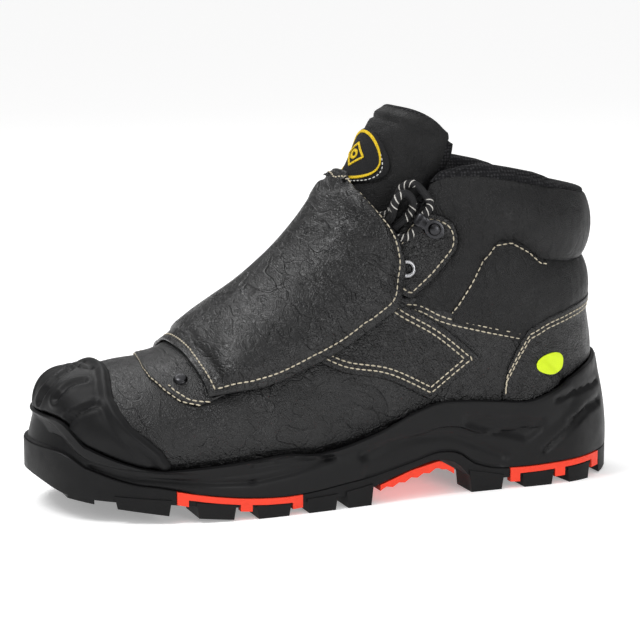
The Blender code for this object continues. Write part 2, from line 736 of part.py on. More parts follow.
def tongue_frame(position):
    """Centre, up direction, back direction, half width, depth and padding of the tongue at a row position."""
    c = read_row(TONGUE, position)
    after = read_row(TONGUE, min(position + 1.5, len(TONGUE) - 1))
    before = read_row(TONGUE, max(position - 1.5, 0))
    centre = Vector((c[0] * HALF_LENGTH, TONGUE_CENTRE * HALF_BALL, c[1] * TONGUE_HEIGHT))
    up = Vector(((after[0] - before[0]) * HALF_LENGTH, 0, (after[1] - before[1]) * TONGUE_HEIGHT)).normalized()
    back = Vector((up.z, 0, -up.x))
    return centre, up, back, c[2] * HALF_BALL, c[3] * HALF_BALL, c[4] * TONGUE_PADDING


def tongue_rows(step=1.0, across_steps=10):
    rows, depth = [], []
    for k in range(int(round((len(TONGUE) - 1) / step)) + 1):
        centre, _, back, half, deep, padding = tongue_frame(k * step)
        row = []
        for i in range(across_steps + 1):
            angle = RIGHT_ANGLE * (2 * i / across_steps - 1)
            row.append(centre + Vector((0, half * math.sin(angle), 0)) + back * deep * (1 - math.cos(angle)))
            depth.append(padding)
        rows.append(row)
    return rows, depth


def make_tongue():
    rows, depth = tongue_rows()
    width = len(rows[0])
    points = [p for row in rows for p in row]
    faces = grid_faces(len(rows), width)
    normals = vertex_normals(points, faces)
    if normals[width + width // 2].x > 0:
        faces = [list(reversed(face)) for face in faces]
        normals = [-n for n in normals]
    inside = [p - n * d for p, n, d in zip(points, normals, depth)]
    made, walls = sheet(inside, faces, depth, rim_steps=3)
    return place("tongue", made, walls, ("padded_lining", (0.025, 0.025, 0.027), 0.85))


def tongue_tree():
    rows, _ = tongue_rows()
    points = [p for row in rows for p in row]
    faces = grid_faces(len(rows), len(rows[0]))
    if vertex_normals(points, faces)[len(rows[0]) + len(rows[0]) // 2].x > 0:
        faces = [list(reversed(face)) for face in faces]
    return BVHTree.FromPolygons(points, faces)


def make_label(tree):
    """The oval woven label on the front of the tongue."""
    heights = [row[1] for row in TONGUE]
    position = float(np.interp(LABEL_HEIGHT_SHARE, heights, range(len(TONGUE))))
    centre, up, back, *_ = tongue_frame(position)
    points, faces = [], []
    rings, around = 2, 16
    for k in range(rings + 1):
        for j in range(around):
            angle = 2 * math.pi * j / around
            start = centre - back * 0.02
            start = start + up * math.sin(angle) * LABEL_LENGTH / 2 * k / rings
            start.y += math.cos(angle) * LABEL_WIDTH / 2 * k / rings
            points.append(hit(tree, start, back)[0])
    for k in range(rings):
        for j in range(around):
            n = (j + 1) % around
            faces.append([k * around + j, (k + 1) * around + j, (k + 1) * around + n, k * around + n])
    if vertex_normals(points, faces)[around + 1].x > 0:
        faces = [list(reversed(face)) for face in faces]
    return place("tongue_label", *sheet(points, faces, LABEL_THICKNESS, OVERLAY_GAP),
                 ("label", (0.02, 0.02, 0.02), 0.7))


def radial_patch(tree, angles, low_at, high_at, levels, lift, thickness):
    """A piece round the heel: rays from an upright axis in the shaft."""
    axis_x = 0.62 * HALF_LENGTH
    rows = []
    for k in range(levels + 1):
        row = []
        for angle in angles:
            away = Vector((math.cos(angle), math.sin(angle), 0))
            p = Vector((axis_x + away.x * 0.04, away.y * 0.04, 0))
            for _ in range(3):
                low, high = low_at(p), high_at(p)
                p, _ = hit(tree, (axis_x, 0, low + (high - low) * k / levels), away)
            row.append(p)
        rows.append(row)
    made = filled_patch(facing_out(rows, Vector((axis_x, 0, rows[0][0].z))), lift, thickness)
    return made


def make_counter(tree):
    start = math.radians(112)
    angles = [-start + 2 * start * i / 22 for i in range(23)]
    low = lambda p: rim_over(p, LATERAL if p.y < 0 else MEDIAL) + RIM_CLEARANCE
    high = lambda p: max(line_height(COUNTER_TOP, p.x), low(p) + 0.004)
    made = radial_patch(tree, angles, low, high, 3, OVERLAY_GAP + GAP, COUNTER_THICKNESS)
    return place("heel_counter", *made, ("black_leather", (0.018, 0.018, 0.02), 0.45))


def make_strip(tree):
    """The reflective strip over the back seam, narrower at its top."""
    axis_x = 0.62 * HALF_LENGTH
    rows = []
    for k in range(5):
        height = STRIP_HEIGHTS[0] + (STRIP_HEIGHTS[1] - STRIP_HEIGHTS[0]) * k / 4
        half = STRIP_WIDTHS[0] + (STRIP_WIDTHS[1] - STRIP_WIDTHS[0]) * k / 4
        row = []
        for j in range(-3, 4):
            row.append(hit(tree, (axis_x, half * j / 3, height * COLLAR_HEIGHT), (1, 0, 0))[0])
        rows.append(row)
    made = filled_patch(facing_out(rows, Vector((axis_x, 0, 0.1))), OVERLAY_GAP, PATCH_THICKNESS)
    return place("reflective_strip", *made, ("reflective", (0.6, 0.6, 0.58), 0.4))


def side_name(side):
    return "lateral" if side == LATERAL else "medial"


def make_side_pieces(tree, side):
    name = side_name(side)
    leather = ("black_leather", (0.018, 0.018, 0.02), 0.45)
    place(f"side_strap_{name}", *side_patch(tree, STRAP_EDGE, side, OVERLAY_GAP, STRAP_THICKNESS), leather)
    place(f"eyestay_{name}", *side_patch(tree, EYESTAY_EDGE, side, OVERLAY_GAP, OVERLAY), leather)


def on_side(tree, at, side, lift):
    """Point, outward normal, forward and cross directions at a place on the upper's side."""
    point, normal = side_point(tree, at[0] * HALF_LENGTH, at[1] * COLLAR_HEIGHT, side)
    normal = normal.normalized()
    forward = Vector((-1, 0, 0))
    forward = (forward - normal * forward.dot(normal)).normalized()
    return point + normal * lift, normal, forward, normal.cross(forward).normalized()


def turned(profile, centre, axis, across_dir, sides):
    """A body turned round an axis from (radius, height) pairs, closed at both ends where the radius is 0."""
    other = axis.cross(across_dir)
    points, faces = [], []
    for r, h in profile:
        for j in range(sides):
            angle = 2 * math.pi * j / sides
            points.append(centre + axis * h + (across_dir * math.cos(angle) + other * math.sin(angle)) * r)
    faces = grid_faces(len(profile), sides, closed=True)
    return points, faces


def make_rivet(name, centre, normal, across_dir, radius, height):
    rings = 3
    dome = [(radius * math.cos(RIGHT_ANGLE * k / rings), height * (0.35 + 0.65 * math.sin(RIGHT_ANGLE * k / rings)))
            for k in range(rings + 1)]
    profile = [(0.0, 0.0), (radius, 0.0)] + dome[:-1] + [(0.0, height)]
    points, faces = welded(*turned(profile, centre, normal, across_dir, 10))
    return place(name, points, faces, ("gunmetal", (0.05, 0.05, 0.055), 0.3, 0.9), sharp=50)


def make_eyelet(tree, side):
    lift = OVERLAY_GAP + OVERLAY + CURVED_GAP
    centre, normal, forward, _ = on_side(tree, EYELET_AT, side, lift)
    wire, radius = EYELET_WIRE / 2, EYELET_RADIUS
    profile = []
    for k in range(6):
        angle = 2 * math.pi * k / 5
        profile.append((radius + wire * math.cos(angle), wire + wire * math.sin(angle)))
    points, faces = welded(*turned(profile, centre, normal, forward, 12))
    return place(f"eyelet_{side_name(side)}", points, faces, ("eyelet_metal", (0.35, 0.35, 0.36), 0.25, 1.0))


HOOK_WIDTH = 0.0062
HOOK_THICKNESS = 0.0010
HOOK_ARM = 0.0085
HOOK_TILT = math.radians(33)
HOOK_MOUTH = LACE_DIAMETER + 4 * GAP
HOOK_LIFT = OVERLAY_GAP + OVERLAY + CURVED_GAP + GAP


def hook_frame(tree, side):
    """Place, normal, arm direction and upward cross direction of a hook."""
    centre, normal, forward, cross = on_side(tree, HOOK_AT, side, HOOK_LIFT)
    up = cross if cross.z > 0 else -cross
    arm = forward * math.cos(HOOK_TILT) + up * math.sin(HOOK_TILT)
    return centre, normal, arm, up * math.cos(HOOK_TILT) - forward * math.sin(HOOK_TILT)


def make_hook(tree, side):
    """A speed hook: a foot under the rivet, an arm and a curl that holds the lace."""
    centre, normal, forward, cross = hook_frame(tree, side)
    half = HOOK_THICKNESS / 2
    curl = HOOK_MOUTH / 2 + half
    path = [(-0.0046, half), (-0.0022, half), (0.0, half), (HOOK_ARM - 0.002, half)]
    for k in range(7):
        angle = -RIGHT_ANGLE + math.pi * k / 6
        path.append((HOOK_ARM + curl * math.cos(angle), half + curl + curl * math.sin(angle)))
    path.append((HOOK_ARM - 0.0024, half + 2 * curl + 0.0002))
    points = []
    for i, (f, n) in enumerate(path):
        ahead, behind = path[min(i + 1, len(path) - 1)], path[max(i - 1, 0)]
        along = Vector((ahead[0] - behind[0], ahead[1] - behind[1])).normalized()
        up = Vector((-along.y, along.x)) * half
        taper = HOOK_WIDTH / 2 * (1.0 if 0 < i < len(path) - 1 else 0.72)
        for w, t in ((-1, -1), (1, -1), (1, 1), (-1, 1)):
            spot = centre + forward * (f + up.x * t) + normal * (n + up.y * t) + cross * (w * taper)
            points.append(spot)
    faces = grid_faces(len(path), 4, closed=True)
    faces += [[3, 2, 1, 0], [len(points) - 4 + k for k in range(4)]]
    if normal.cross(forward).dot(cross) < 0:
        faces = [list(reversed(f)) for f in faces]
    return place(f"lace_hook_{side_name(side)}", points, faces, ("gunmetal", (0.05, 0.05, 0.055), 0.3, 0.9))


# The sole


def outline_at(x, side):
    """Point on the sole's outline at x."""
    positions = np.linspace(0, HEEL_TIP, 16 * HEEL_TIP + 1)
    xs = [sole_outline(p, side).x for p in positions]
    return sole_outline(float(np.interp(x, xs, positions)), side)


STATION_STEP = 0.5
FOOTBED_DROP = LEATHER / 2 + GAP + 0.0004
SOLE_INSET = 0.0004
EDGE_BEVEL = 0.0008
JOINT_GAP = 0.0003
RAND_WIDTH = 0.0018
RAND_SLOPE = 0.0007
RIM_CLEARANCE = 0.0020
JOINT_SHARE = 0.82


def inner_joint(x):
    """Height of the joint inside the raised edge of the outsole."""
    tread, bed = sole_height("tread", x), base_height(x) - FOOTBED_DROP
    return min(sole_height("joint", x), tread + JOINT_SHARE * (bed - tread))


def edge_height(name, x):
    """A HEIGHTS column along the edge as it is built, straight from station to station."""
    count = int(round(HEEL_TIP / STATION_STEP))
    xs = [sole_outline(k * STATION_STEP, LATERAL).x for k in range(count + 1)]
    return float(np.interp(x, xs, [sole_height(name, v) for v in xs]))


def outer_lean(x, share):
    """How far the midsole's outer wall leans in at a share of its height."""
    heel = smooth_step(x, 0.72 * HALF_LENGTH, 0.97 * HALF_LENGTH)
    toe = 1 - smooth_step(x, -0.97 * HALF_LENGTH, -0.80 * HALF_LENGTH)
    side = 0.0022 * (1 - heel) * (1 - toe)
    bulge = -0.0006 * math.sin(math.pi * min(share * 1.3, 1.0)) * (1 - toe)
    return side * share ** 2 + heel * (0.0062 * share ** 1.6) + toe * (0.0008 + 0.0032 * share) + bulge


def sole_loops(tree):
    """The midsole's level loops from the footbed over the rim and down to the outsole."""
    outer_shares = (0.93, 0.75, 0.52, 0.28, 0.08, 0.0)
    loops = [[] for _ in range(7 + len(outer_shares))]
    for station, side in stations(STATION_STEP):
        edge = sole_outline(station, side, SOLE_INSET)
        x = sole_outline(station, side).x
        middle = spine(x)
        away = (edge - middle).normalized()
        span = (edge - middle).length
        joint, rim = sole_height("joint", x), sole_height("rim", x)
        bed = base_height(x) - FOOTBED_DROP

        def inner(z):
            low = base_height(x) + 0.0008
            found = [reach(tree, station, side, max(z + dz, low)) for dz in (-0.004, 0, 0.004)]
            found = [f for f in found if f]
            return (max(found) if found else span - RIM_THICKNESS) + CUP_GAP

        heights = (bed, (bed + rim) / 2, rim - 0.0012)
        for k, z in enumerate(heights):
            spot = middle + away * inner(z)
            loops[k].append(Vector((spot.x, spot.y, z)))
        top = inner(rim - 0.0002)
        outside = lambda z, share: max(span - outer_lean(x, share), inner(min(z, rim - 0.0005)) + RIM_THICKNESS)
        crest = outside(rim, 1.0)
        for k, part in ((3, 0.30), (4, 0.85)):
            spot = middle + away * (top + (crest - top) * part)
            loops[k].append(Vector((spot.x, spot.y, rim - (0.0 if k == 3 else 0.0005))))
        for k, share in enumerate(outer_shares):
            z = joint + JOINT_GAP + (rim - joint - JOINT_GAP) * share
            distance = outside(z, share) if share > 0.5 and z > base_height(x) else span - outer_lean(x, share)
            if share == 0.0:
                distance = span
            spot = middle + away * distance
            loops[5 + k].append(Vector((spot.x, spot.y, z)))
        for k, inset in ((-2, RAND_WIDTH + JOINT_GAP), (-1, RAND_WIDTH + RAND_SLOPE + JOINT_GAP)):
            spot = middle + away * max(span - inset, 0.001)
            height = (joint if k == -2 else inner_joint(x)) + JOINT_GAP
            loops[k].append(Vector((spot.x, spot.y, height)))
    return loops


def loops_body(loops):
    """A closed body over level loops, closed across at both ends."""
    points = [p for loop in loops for p in loop]
    count = len(loops[0])
    faces = grid_faces(len(loops), count, closed=True)
    faces += [list(reversed(f)) for f in across(list(range(count)))]
    faces += across([len(points) - count + i for i in range(count)])
    return points, faces


def make_midsole(tree):
    return place("midsole", *loops_body(sole_loops(tree)), ("moulded_rubber", (0.022, 0.022, 0.024), 0.6), sharp=32)


def make_insole(tree):
    """The footbed inside the boot, on the midsole's floor."""
    low, high = [], []
    for station, side in stations(0.5):
        x = sole_outline(station, side).x
        edge = sole_outline(station, side)
        middle = spine(x)
        away = (edge - middle).normalized()
        floor = base_height(x) - FOOTBED_DROP + GAP
        spans = []
        for z in (base_height(x) + 0.001, floor + INSOLE_THICKNESS + 0.001):
            found = reach(tree, station, side, max(z, base_height(x) + 0.001))
            spans.append(found if found else 0.004)
        spot = middle + away * max(min(spans) - LEATHER - INSOLE_EASE, 0.002)
        low.append(Vector((spot.x, spot.y, floor)))
        high.append(Vector((spot.x, spot.y, floor + INSOLE_THICKNESS)))
    return place("insole", *loops_body([high, low]), ("insole_foam", (0.05, 0.05, 0.055), 0.9))


# Lugs along each side from toe to heel, as shares of HALF_LENGTH, with how deep
# each runs in from the side as a share of HALF_BALL.
SIDE_LUGS = ((-0.790, -0.625, 0.40), (-0.550, -0.425, 0.40), (-0.360, -0.242, 0.40), (-0.188, -0.080, 0.38),
             (-0.050, 0.048, 0.34), (0.400, 0.525, 0.34), (0.592, 0.708, 0.34), (0.762, 0.860, 0.30))
CENTRE_LUGS = ((-0.705, -0.620, 0.36), (-0.520, -0.430, 0.42), (-0.330, -0.240, 0.42), (-0.150, -0.080, 0.34),
               (0.510, 0.590, 0.26), (0.700, 0.780, 0.26))
TOE_LUG = (-0.915, -0.845)
HEEL_LUG = (0.918, 0.972)
LUG_ROOT = 0.35

# The coloured frames set into the sole's edge: start, end, middle leg, and how
# far the bar and the legs reach below the joint, as shares of COLLAR_HEIGHT.
FRAMES = {
    "window_forefoot": (-0.608, -0.203, -0.392, 0.040),
    "window_heel": (0.549, 0.905, 0.732, 0.046),
}
FRAME_LEG = 0.0058
FRAME_SIDE_LEG = 0.0052


def wall_prism(ring, side, out, depth, spacing=0.010):
    """A block whose outer face lies along the sole's outline: ring is its side view (x, z) in metres."""
    edge = []
    for a, b in zip(ring, ring[1:] + ring[:1]):
        pieces = max(1, math.ceil(abs(b[0] - a[0]) / spacing))
        edge += [Vector(a).lerp(Vector(b), k / pieces) for k in range(pieces)]
    count = len(edge)
    verts, _, faces, *_ = delaunay_2d_cdt(edge, [[i, (i + 1) % count] for i in range(count)], [], 1, 1e-7)
    points = []
    for inward in (-out, depth):
        for v in verts:
            rim = outline_at(v.x, side)
            spot = rim + (spine(rim.x) - rim).normalized() * inward
            points.append(Vector((spot.x, spot.y, v.y)))
    total = len(verts)
    walls = [list(f) for f in faces] + [[v + total for v in reversed(f)] for f in faces]
    for a, b in border_edges([list(f) for f in faces]):
        walls.append([a, a + total, b + total, b])
    return points, walls


def frame_ring(start, end, leg, reach_down, grow=0.0, open_top=False):
    """Side view of a frame: a bar along the joint with three legs down between the lugs."""
    start, end, leg = (v * HALF_LENGTH for v in (start, end, leg))
    half = FRAME_LEG / 2 + grow
    joint = lambda x: edge_height("joint", x)
    top = lambda x: joint(x) + (0.004 if open_top else -JOINT_GAP)
    bar = lambda x: joint(x) - FRAME_BAR - grow
    foot = lambda x: joint(x) - reach_down * COLLAR_HEIGHT - grow
    start, end = start - grow, end + grow
    left, right = start + FRAME_SIDE_LEG + 2 * grow, end - FRAME_SIDE_LEG - 2 * grow
    ring = [(start, foot(start)), (left, foot(left)), (left, bar(left))]
    span = [left + (leg - half - left) * k / 3 for k in (1, 2)]
    ring += [(x, bar(x)) for x in span]
    ring += [(leg - half, bar(leg - half)), (leg - half, foot(leg - half))]
    ring += [(leg + half, foot(leg + half)), (leg + half, bar(leg + half))]
    span = [leg + half + (right - leg - half) * k / 3 for k in (1, 2)]
    ring += [(x, bar(x)) for x in span]
    ring += [(right, bar(right)), (right, foot(right)), (end, foot(end)), (end, top(end))]
    back = [end + (start - end) * k / 8 for k in range(1, 8)]
    ring += [(x, top(x)) for x in back]
    return ring + [(start, top(start))]


def lug_ring(start, end):
    """Side view of a lug: flat on the ground, its ends leaning in."""
    lean = 0.0012
    floor = [(x, ground(x)) for x in (start + lean, end - lean)]
    return floor + [(end, lug_root(end)), (start, lug_root(start))]


def lug_root(x):
    """Height inside the outsole where a lug ends."""
    tread = sole_height("tread", x)
    return tread + LUG_ROOT * (inner_joint(x) - tread)


def bar_lug(start, end, half_width):
    """A lug across the middle of the tread."""
    points = []
    for x, lean in ((start, 0.0008), (end, -0.0008)):
        centre = spine(x).y
        for y in (centre - half_width, centre + half_width):
            points += [Vector((x + lean, y, ground(x + lean))), Vector((x, y, lug_root(x)))]
    faces = [[0, 2, 3, 1], [4, 5, 7, 6], [0, 1, 5, 4], [2, 6, 7, 3], [1, 3, 7, 5], [0, 4, 6, 2]]
    return points, faces


def end_lug(start, end):
    """A lug across the toe or the back of the heel, following the outline."""
    points, faces = [], []
    columns = 5
    for i in range(columns):
        x = start + (end - start) * i / (columns - 1)
        for side in (LATERAL, MEDIAL):
            y = outline_at(x, side).y - side * 2 * SOLE_INSET
            points += [Vector((x, y, ground(x))), Vector((x, y, lug_root(x)))]
    ring = [0, 2, 3, 1]
    for i in range(columns - 1):
        for a, b in zip(ring, ring[1:] + ring[:1]):
            faces.append([i * 4 + a, i * 4 + b, (i + 1) * 4 + b, (i + 1) * 4 + a])
    last = 4 * (columns - 1)
    faces += [list(reversed(ring)), [last + v for v in ring]]
    return points, faces


def make_outsole():
    loops = [[] for _ in range(5)]
    for station, side in stations(STATION_STEP):
        x = sole_outline(station, side).x
        joint, tread = sole_height("joint", x), sole_height("tread", x)
        levels = (
            (inner_joint(x), RAND_WIDTH + RAND_SLOPE), (joint, RAND_WIDTH), (joint, 0.0),
            (tread + EDGE_BEVEL, 0.0), (tread, EDGE_BEVEL),
        )
        for loop, (z, inset) in zip(loops, levels):
            edge = sole_outline(station, side, SOLE_INSET + inset)
            loop.append(Vector((edge.x, edge.y, z)))
    look = ("outsole_rubber", (0.015, 0.015, 0.016), 0.7)
    sole = place("outsole", *loops_body(loops), look, sharp=30)
    blocks = []
    for start, end, depth in SIDE_LUGS:
        ring = lug_ring(start * HALF_LENGTH, end * HALF_LENGTH)
        for side in (LATERAL, MEDIAL):
            blocks.append(wall_prism(ring, side, 0.0, depth * HALF_BALL))
    for start, end, width in CENTRE_LUGS:
        blocks.append(bar_lug(start * HALF_LENGTH, end * HALF_LENGTH, width * HALF_BALL))
    for start, end in (TOE_LUG, HEEL_LUG):
        blocks.append(end_lug(start * HALF_LENGTH, end * HALF_LENGTH))
    for points, faces in blocks:
        combine(sole, place("lug", points, faces, look), "UNION")
    for row in FRAMES.values():
        for side in (LATERAL, MEDIAL):
            ring = frame_ring(*row, grow=GAP, open_top=True)
            cutter = place("cut", *wall_prism(ring, side, 0.003, FRAME_DEPTH + GAP), look)
            combine(sole, cutter, "DIFFERENCE")
    sole.data.set_sharp_from_angle(angle=math.radians(30))
    return sole


def make_frames():
    for name, row in FRAMES.items():
        for side in (LATERAL, MEDIAL):
            made = wall_prism(frame_ring(*row), side, FRAME_INSET - SOLE_INSET, FRAME_DEPTH)
            place(f"{name}_{side_name(side)}", *made, ("coral_rubber", (0.95, 0.1, 0.05), 0.5))


SHANK_SPAN = (0.074, 0.345)
SHANK_RIDGES = 6


def make_shank():
    """The coloured bridge under the arch, ridged along its lower face."""
    start, end = (share * HALF_LENGTH for share in SHANK_SPAN)
    steps = 4 * SHANK_RIDGES
    points = []
    for i in range(steps + 1):
        t = i / steps
        x = start + (end - start) * t
        top = edge_height("tread", x) - CURVED_GAP
        ridge = 0.0006 * math.cos(2 * math.pi * SHANK_RIDGES * t)
        thick = SHANK_THICKNESS * (0.35 + 0.65 * math.sin(math.pi * min(max(t, 0.04), 0.97)) ** 0.5) + ridge
        for side in (LATERAL, MEDIAL):
            y = outline_at(x, side).y - side * SOLE_INSET
            points += [Vector((x, y, top - thick)), Vector((x, y, top))]
    ring = [0, 2, 3, 1]
    faces = []
    for i in range(steps):
        for a, b in zip(ring, ring[1:] + ring[:1]):
            faces.append([i * 4 + a, i * 4 + b, (i + 1) * 4 + b, (i + 1) * 4 + a])
    last = 4 * steps
    faces += [list(reversed(ring)), [last + v for v in ring]]
    return place("arch_shank", points, faces, ("coral_rubber", (0.95, 0.1, 0.05), 0.5), sharp=25)


# Laces

# The tied lace from the tongue's middle to the lateral hook and on from it, as
# shares of HALF_LENGTH, HALF_BALL and COLLAR_HEIGHT; the medial side mirrors it.
LACE_TO_HOOK = ((-0.002, -0.050, 0.834), (0.033, -0.206, 0.827), (0.079, -0.374, 0.812), (0.125, -0.497, 0.804),
                (0.165, -0.594, 0.797), (0.204, -0.655, 0.802))
LACE_FROM_HOOK = ((0.268, -0.665, 0.900), (0.255, -0.626, 0.925), (0.231, -0.585, 0.952), (0.204, -0.538, 0.962),
                  (0.185, -0.501, 0.938), (0.173, -0.479, 0.906), (0.158, -0.456, 0.872), (0.128, -0.411, 0.856))
LACE_END = (0.080, -0.300, 0.872)
LOOP_ROUTE = ((0.135, -0.508, 0.838), (0.147, -0.566, 0.860), (0.148, -0.609, 0.886), (0.154, -0.632, 0.914),
              (0.178, -0.636, 0.933), (0.204, -0.636, 0.919), (0.212, -0.624, 0.890), (0.200, -0.598, 0.862),
              (0.177, -0.566, 0.840), (0.162, -0.534, 0.825))


def smooth_route(route, count):
    """Evenly spaced points along a smooth curve through a route."""
    fine = [Vector(read_row(route, (len(route) - 1) * i / 400)) for i in range(401)]
    lengths = [0.0]
    for a, b in zip(fine, fine[1:]):
        lengths.append(lengths[-1] + (b - a).length)
    wanted = np.linspace(0, lengths[-1], count)
    return [Vector([float(np.interp(w, lengths, [p[k] for p in fine])) for k in range(3)]) for w in wanted]


def make_lace(name, route, count, look):
    curve = bpy.data.curves.new(name, "CURVE")
    curve.dimensions = "3D"
    curve.bevel_depth = LACE_DIAMETER / 2
    curve.bevel_resolution = 2
    curve.use_fill_caps = True
    line = curve.splines.new("POLY")
    line.points.add(count - 1)
    for spot, p in zip(line.points, smooth_route(route, count)):
        spot.co = (*p, 1.0)
    curve.materials.append(material(*look))
    made = bpy.data.objects.new(name, curve)
    bpy.context.scene.collection.objects.link(made)
    return made


def scaled_route(route, trees, side=LATERAL):
    points = [Vector((x * HALF_LENGTH, -side * y * HALF_BALL, z * COLLAR_HEIGHT)) for x, y, z in route]
    return [push_out(p, trees) for p in points]


def hook_seat(tree, side):
    """Three points of the lace through a hook's mouth, from below up."""
    centre, normal, arm, up = hook_frame(tree, side)
    mouth = centre + arm * HOOK_ARM + normal * (HOOK_THICKNESS + HOOK_MOUTH / 2)
    return [mouth - up * HOOK_WIDTH * 0.7, mouth, mouth + up * HOOK_WIDTH * 0.7]


def make_laces(tree, front):
    look = ("lace", (0.03, 0.03, 0.03), 0.8)
    clear = LACE_DIAMETER / 2 + OVERLAY_GAP
    trees = [(tree, clear), (front, clear)]
    halves = []
    for side in (LATERAL, MEDIAL):
        there = scaled_route(LACE_TO_HOOK, trees, side) + hook_seat(tree, side)
        halves.append(there + scaled_route(LACE_FROM_HOOK + (LACE_END,), trees, side))
    path = list(reversed(halves[0])) + halves[1]
    make_lace("lace_tied", [tuple(p) for p in path], 34, look)
    make_lace("lace_loop", [tuple(p) for p in scaled_route(LOOP_ROUTE, trees)], 16, look)


def main():
    for old in list(bpy.data.objects):
        bpy.data.objects.remove(old)
    points, faces, tree = upper_skin()
    front = tongue_tree()
    make_upper(points, faces)
    make_midsole(tree)
    make_outsole()
    make_frames()
    make_shank()
    make_insole(tree)
    make_bumper()
    make_tab()
    make_guard(tree)
    make_counter(tree)
    make_strip(tree)
    make_tongue()
    make_label(front)
    make_laces(tree, front)
    for side in (LATERAL, MEDIAL):
        make_side_pieces(tree, side)
        make_eyelet(tree, side)
        make_hook(tree, side)
        centre, normal, forward, _ = on_side(
            tree, HOOK_AT, side, HOOK_LIFT + HOOK_THICKNESS + GAP)
        make_rivet(f"hook_rivet_{side_name(side)}", centre, normal, forward, HOOK_WIDTH / 2, RIVET_HEIGHT)
        centre, normal, forward, _ = on_side(tree, TAB_RIVET, side, OVERLAY_GAP + CURVED_GAP + STRAP_THICKNESS)
        make_rivet(f"guard_rivet_{side_name(side)}", centre, normal, forward, RIVET_RADIUS, RIVET_HEIGHT)


main()
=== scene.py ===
"""Looks of a laced safety boot with an instep guard.

Metres, +Z up. The toe points to -X and the outer (lateral) side faces -Y.
"""

import json
import math

import bmesh
import bpy
import numpy as np
from bpy.props import FloatProperty, FloatVectorProperty, PointerProperty
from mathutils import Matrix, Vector
from mathutils.bvhtree import BVHTree
from mathutils.geometry import delaunay_2d_cdt

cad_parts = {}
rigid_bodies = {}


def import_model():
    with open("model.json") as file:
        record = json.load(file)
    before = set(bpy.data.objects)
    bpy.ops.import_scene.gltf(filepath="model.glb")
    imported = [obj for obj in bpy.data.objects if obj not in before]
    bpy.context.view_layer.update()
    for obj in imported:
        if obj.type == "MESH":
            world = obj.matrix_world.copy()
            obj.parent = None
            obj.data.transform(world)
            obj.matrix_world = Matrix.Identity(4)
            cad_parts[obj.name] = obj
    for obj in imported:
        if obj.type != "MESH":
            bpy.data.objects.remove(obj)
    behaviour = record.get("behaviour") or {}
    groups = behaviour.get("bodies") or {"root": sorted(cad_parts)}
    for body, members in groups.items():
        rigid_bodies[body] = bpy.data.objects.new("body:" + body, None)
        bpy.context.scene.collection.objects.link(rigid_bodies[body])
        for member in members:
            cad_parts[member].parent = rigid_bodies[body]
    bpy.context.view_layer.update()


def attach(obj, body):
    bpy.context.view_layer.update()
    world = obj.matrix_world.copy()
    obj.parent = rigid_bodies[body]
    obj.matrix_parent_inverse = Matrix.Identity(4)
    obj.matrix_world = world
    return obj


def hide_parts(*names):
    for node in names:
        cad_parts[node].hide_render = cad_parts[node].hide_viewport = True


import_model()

bl_info = {
    "name": "Guard boot",
    "version": (1, 0, 0),
    "blender": (4, 5, 0),
    "location": "View3D > Sidebar > Boot",
    "description": "Builds the looks of a laced safety boot with an instep guard",
    "category": "Add Mesh",
}

# Driving sizes
SOLE_LENGTH = 0.3035
BALL_WIDTH = 0.107
COLLAR_HEIGHT = 0.160
TONGUE_HEIGHT = 0.1915
TOE_SPRING = 0.0135
HEEL_BEVEL = 0.003

# Walls and sheets
LEATHER = 0.0022
COLLAR_PADDING = 0.0085
TONGUE_PADDING = 0.0085
OVERLAY = 0.0015
STRAP_THICKNESS = 0.0016
BUMPER_THICKNESS = 0.0030
GUARD_THICKNESS = 0.0042
RIM_THICKNESS = 0.0030
FRAME_DEPTH = 0.0040
FRAME_BAR = 0.0032

# Clearances between pieces that touch
GAP = 0.0003
CURVED_GAP = 0.0005
OVERLAY_GAP = 0.0009
CUP_GAP = 0.0022

# Fittings
LACE_DIAMETER = 0.0040
EYELET_RADIUS = 0.0036
RIVET_RADIUS = 0.0034
RIVET_HEIGHT = 0.0022

HALF_LENGTH = SOLE_LENGTH / 2
HALF_BALL = BALL_WIDTH / 2
RIGHT_ANGLE = math.pi / 2
LATERAL, MEDIAL = -1, 1

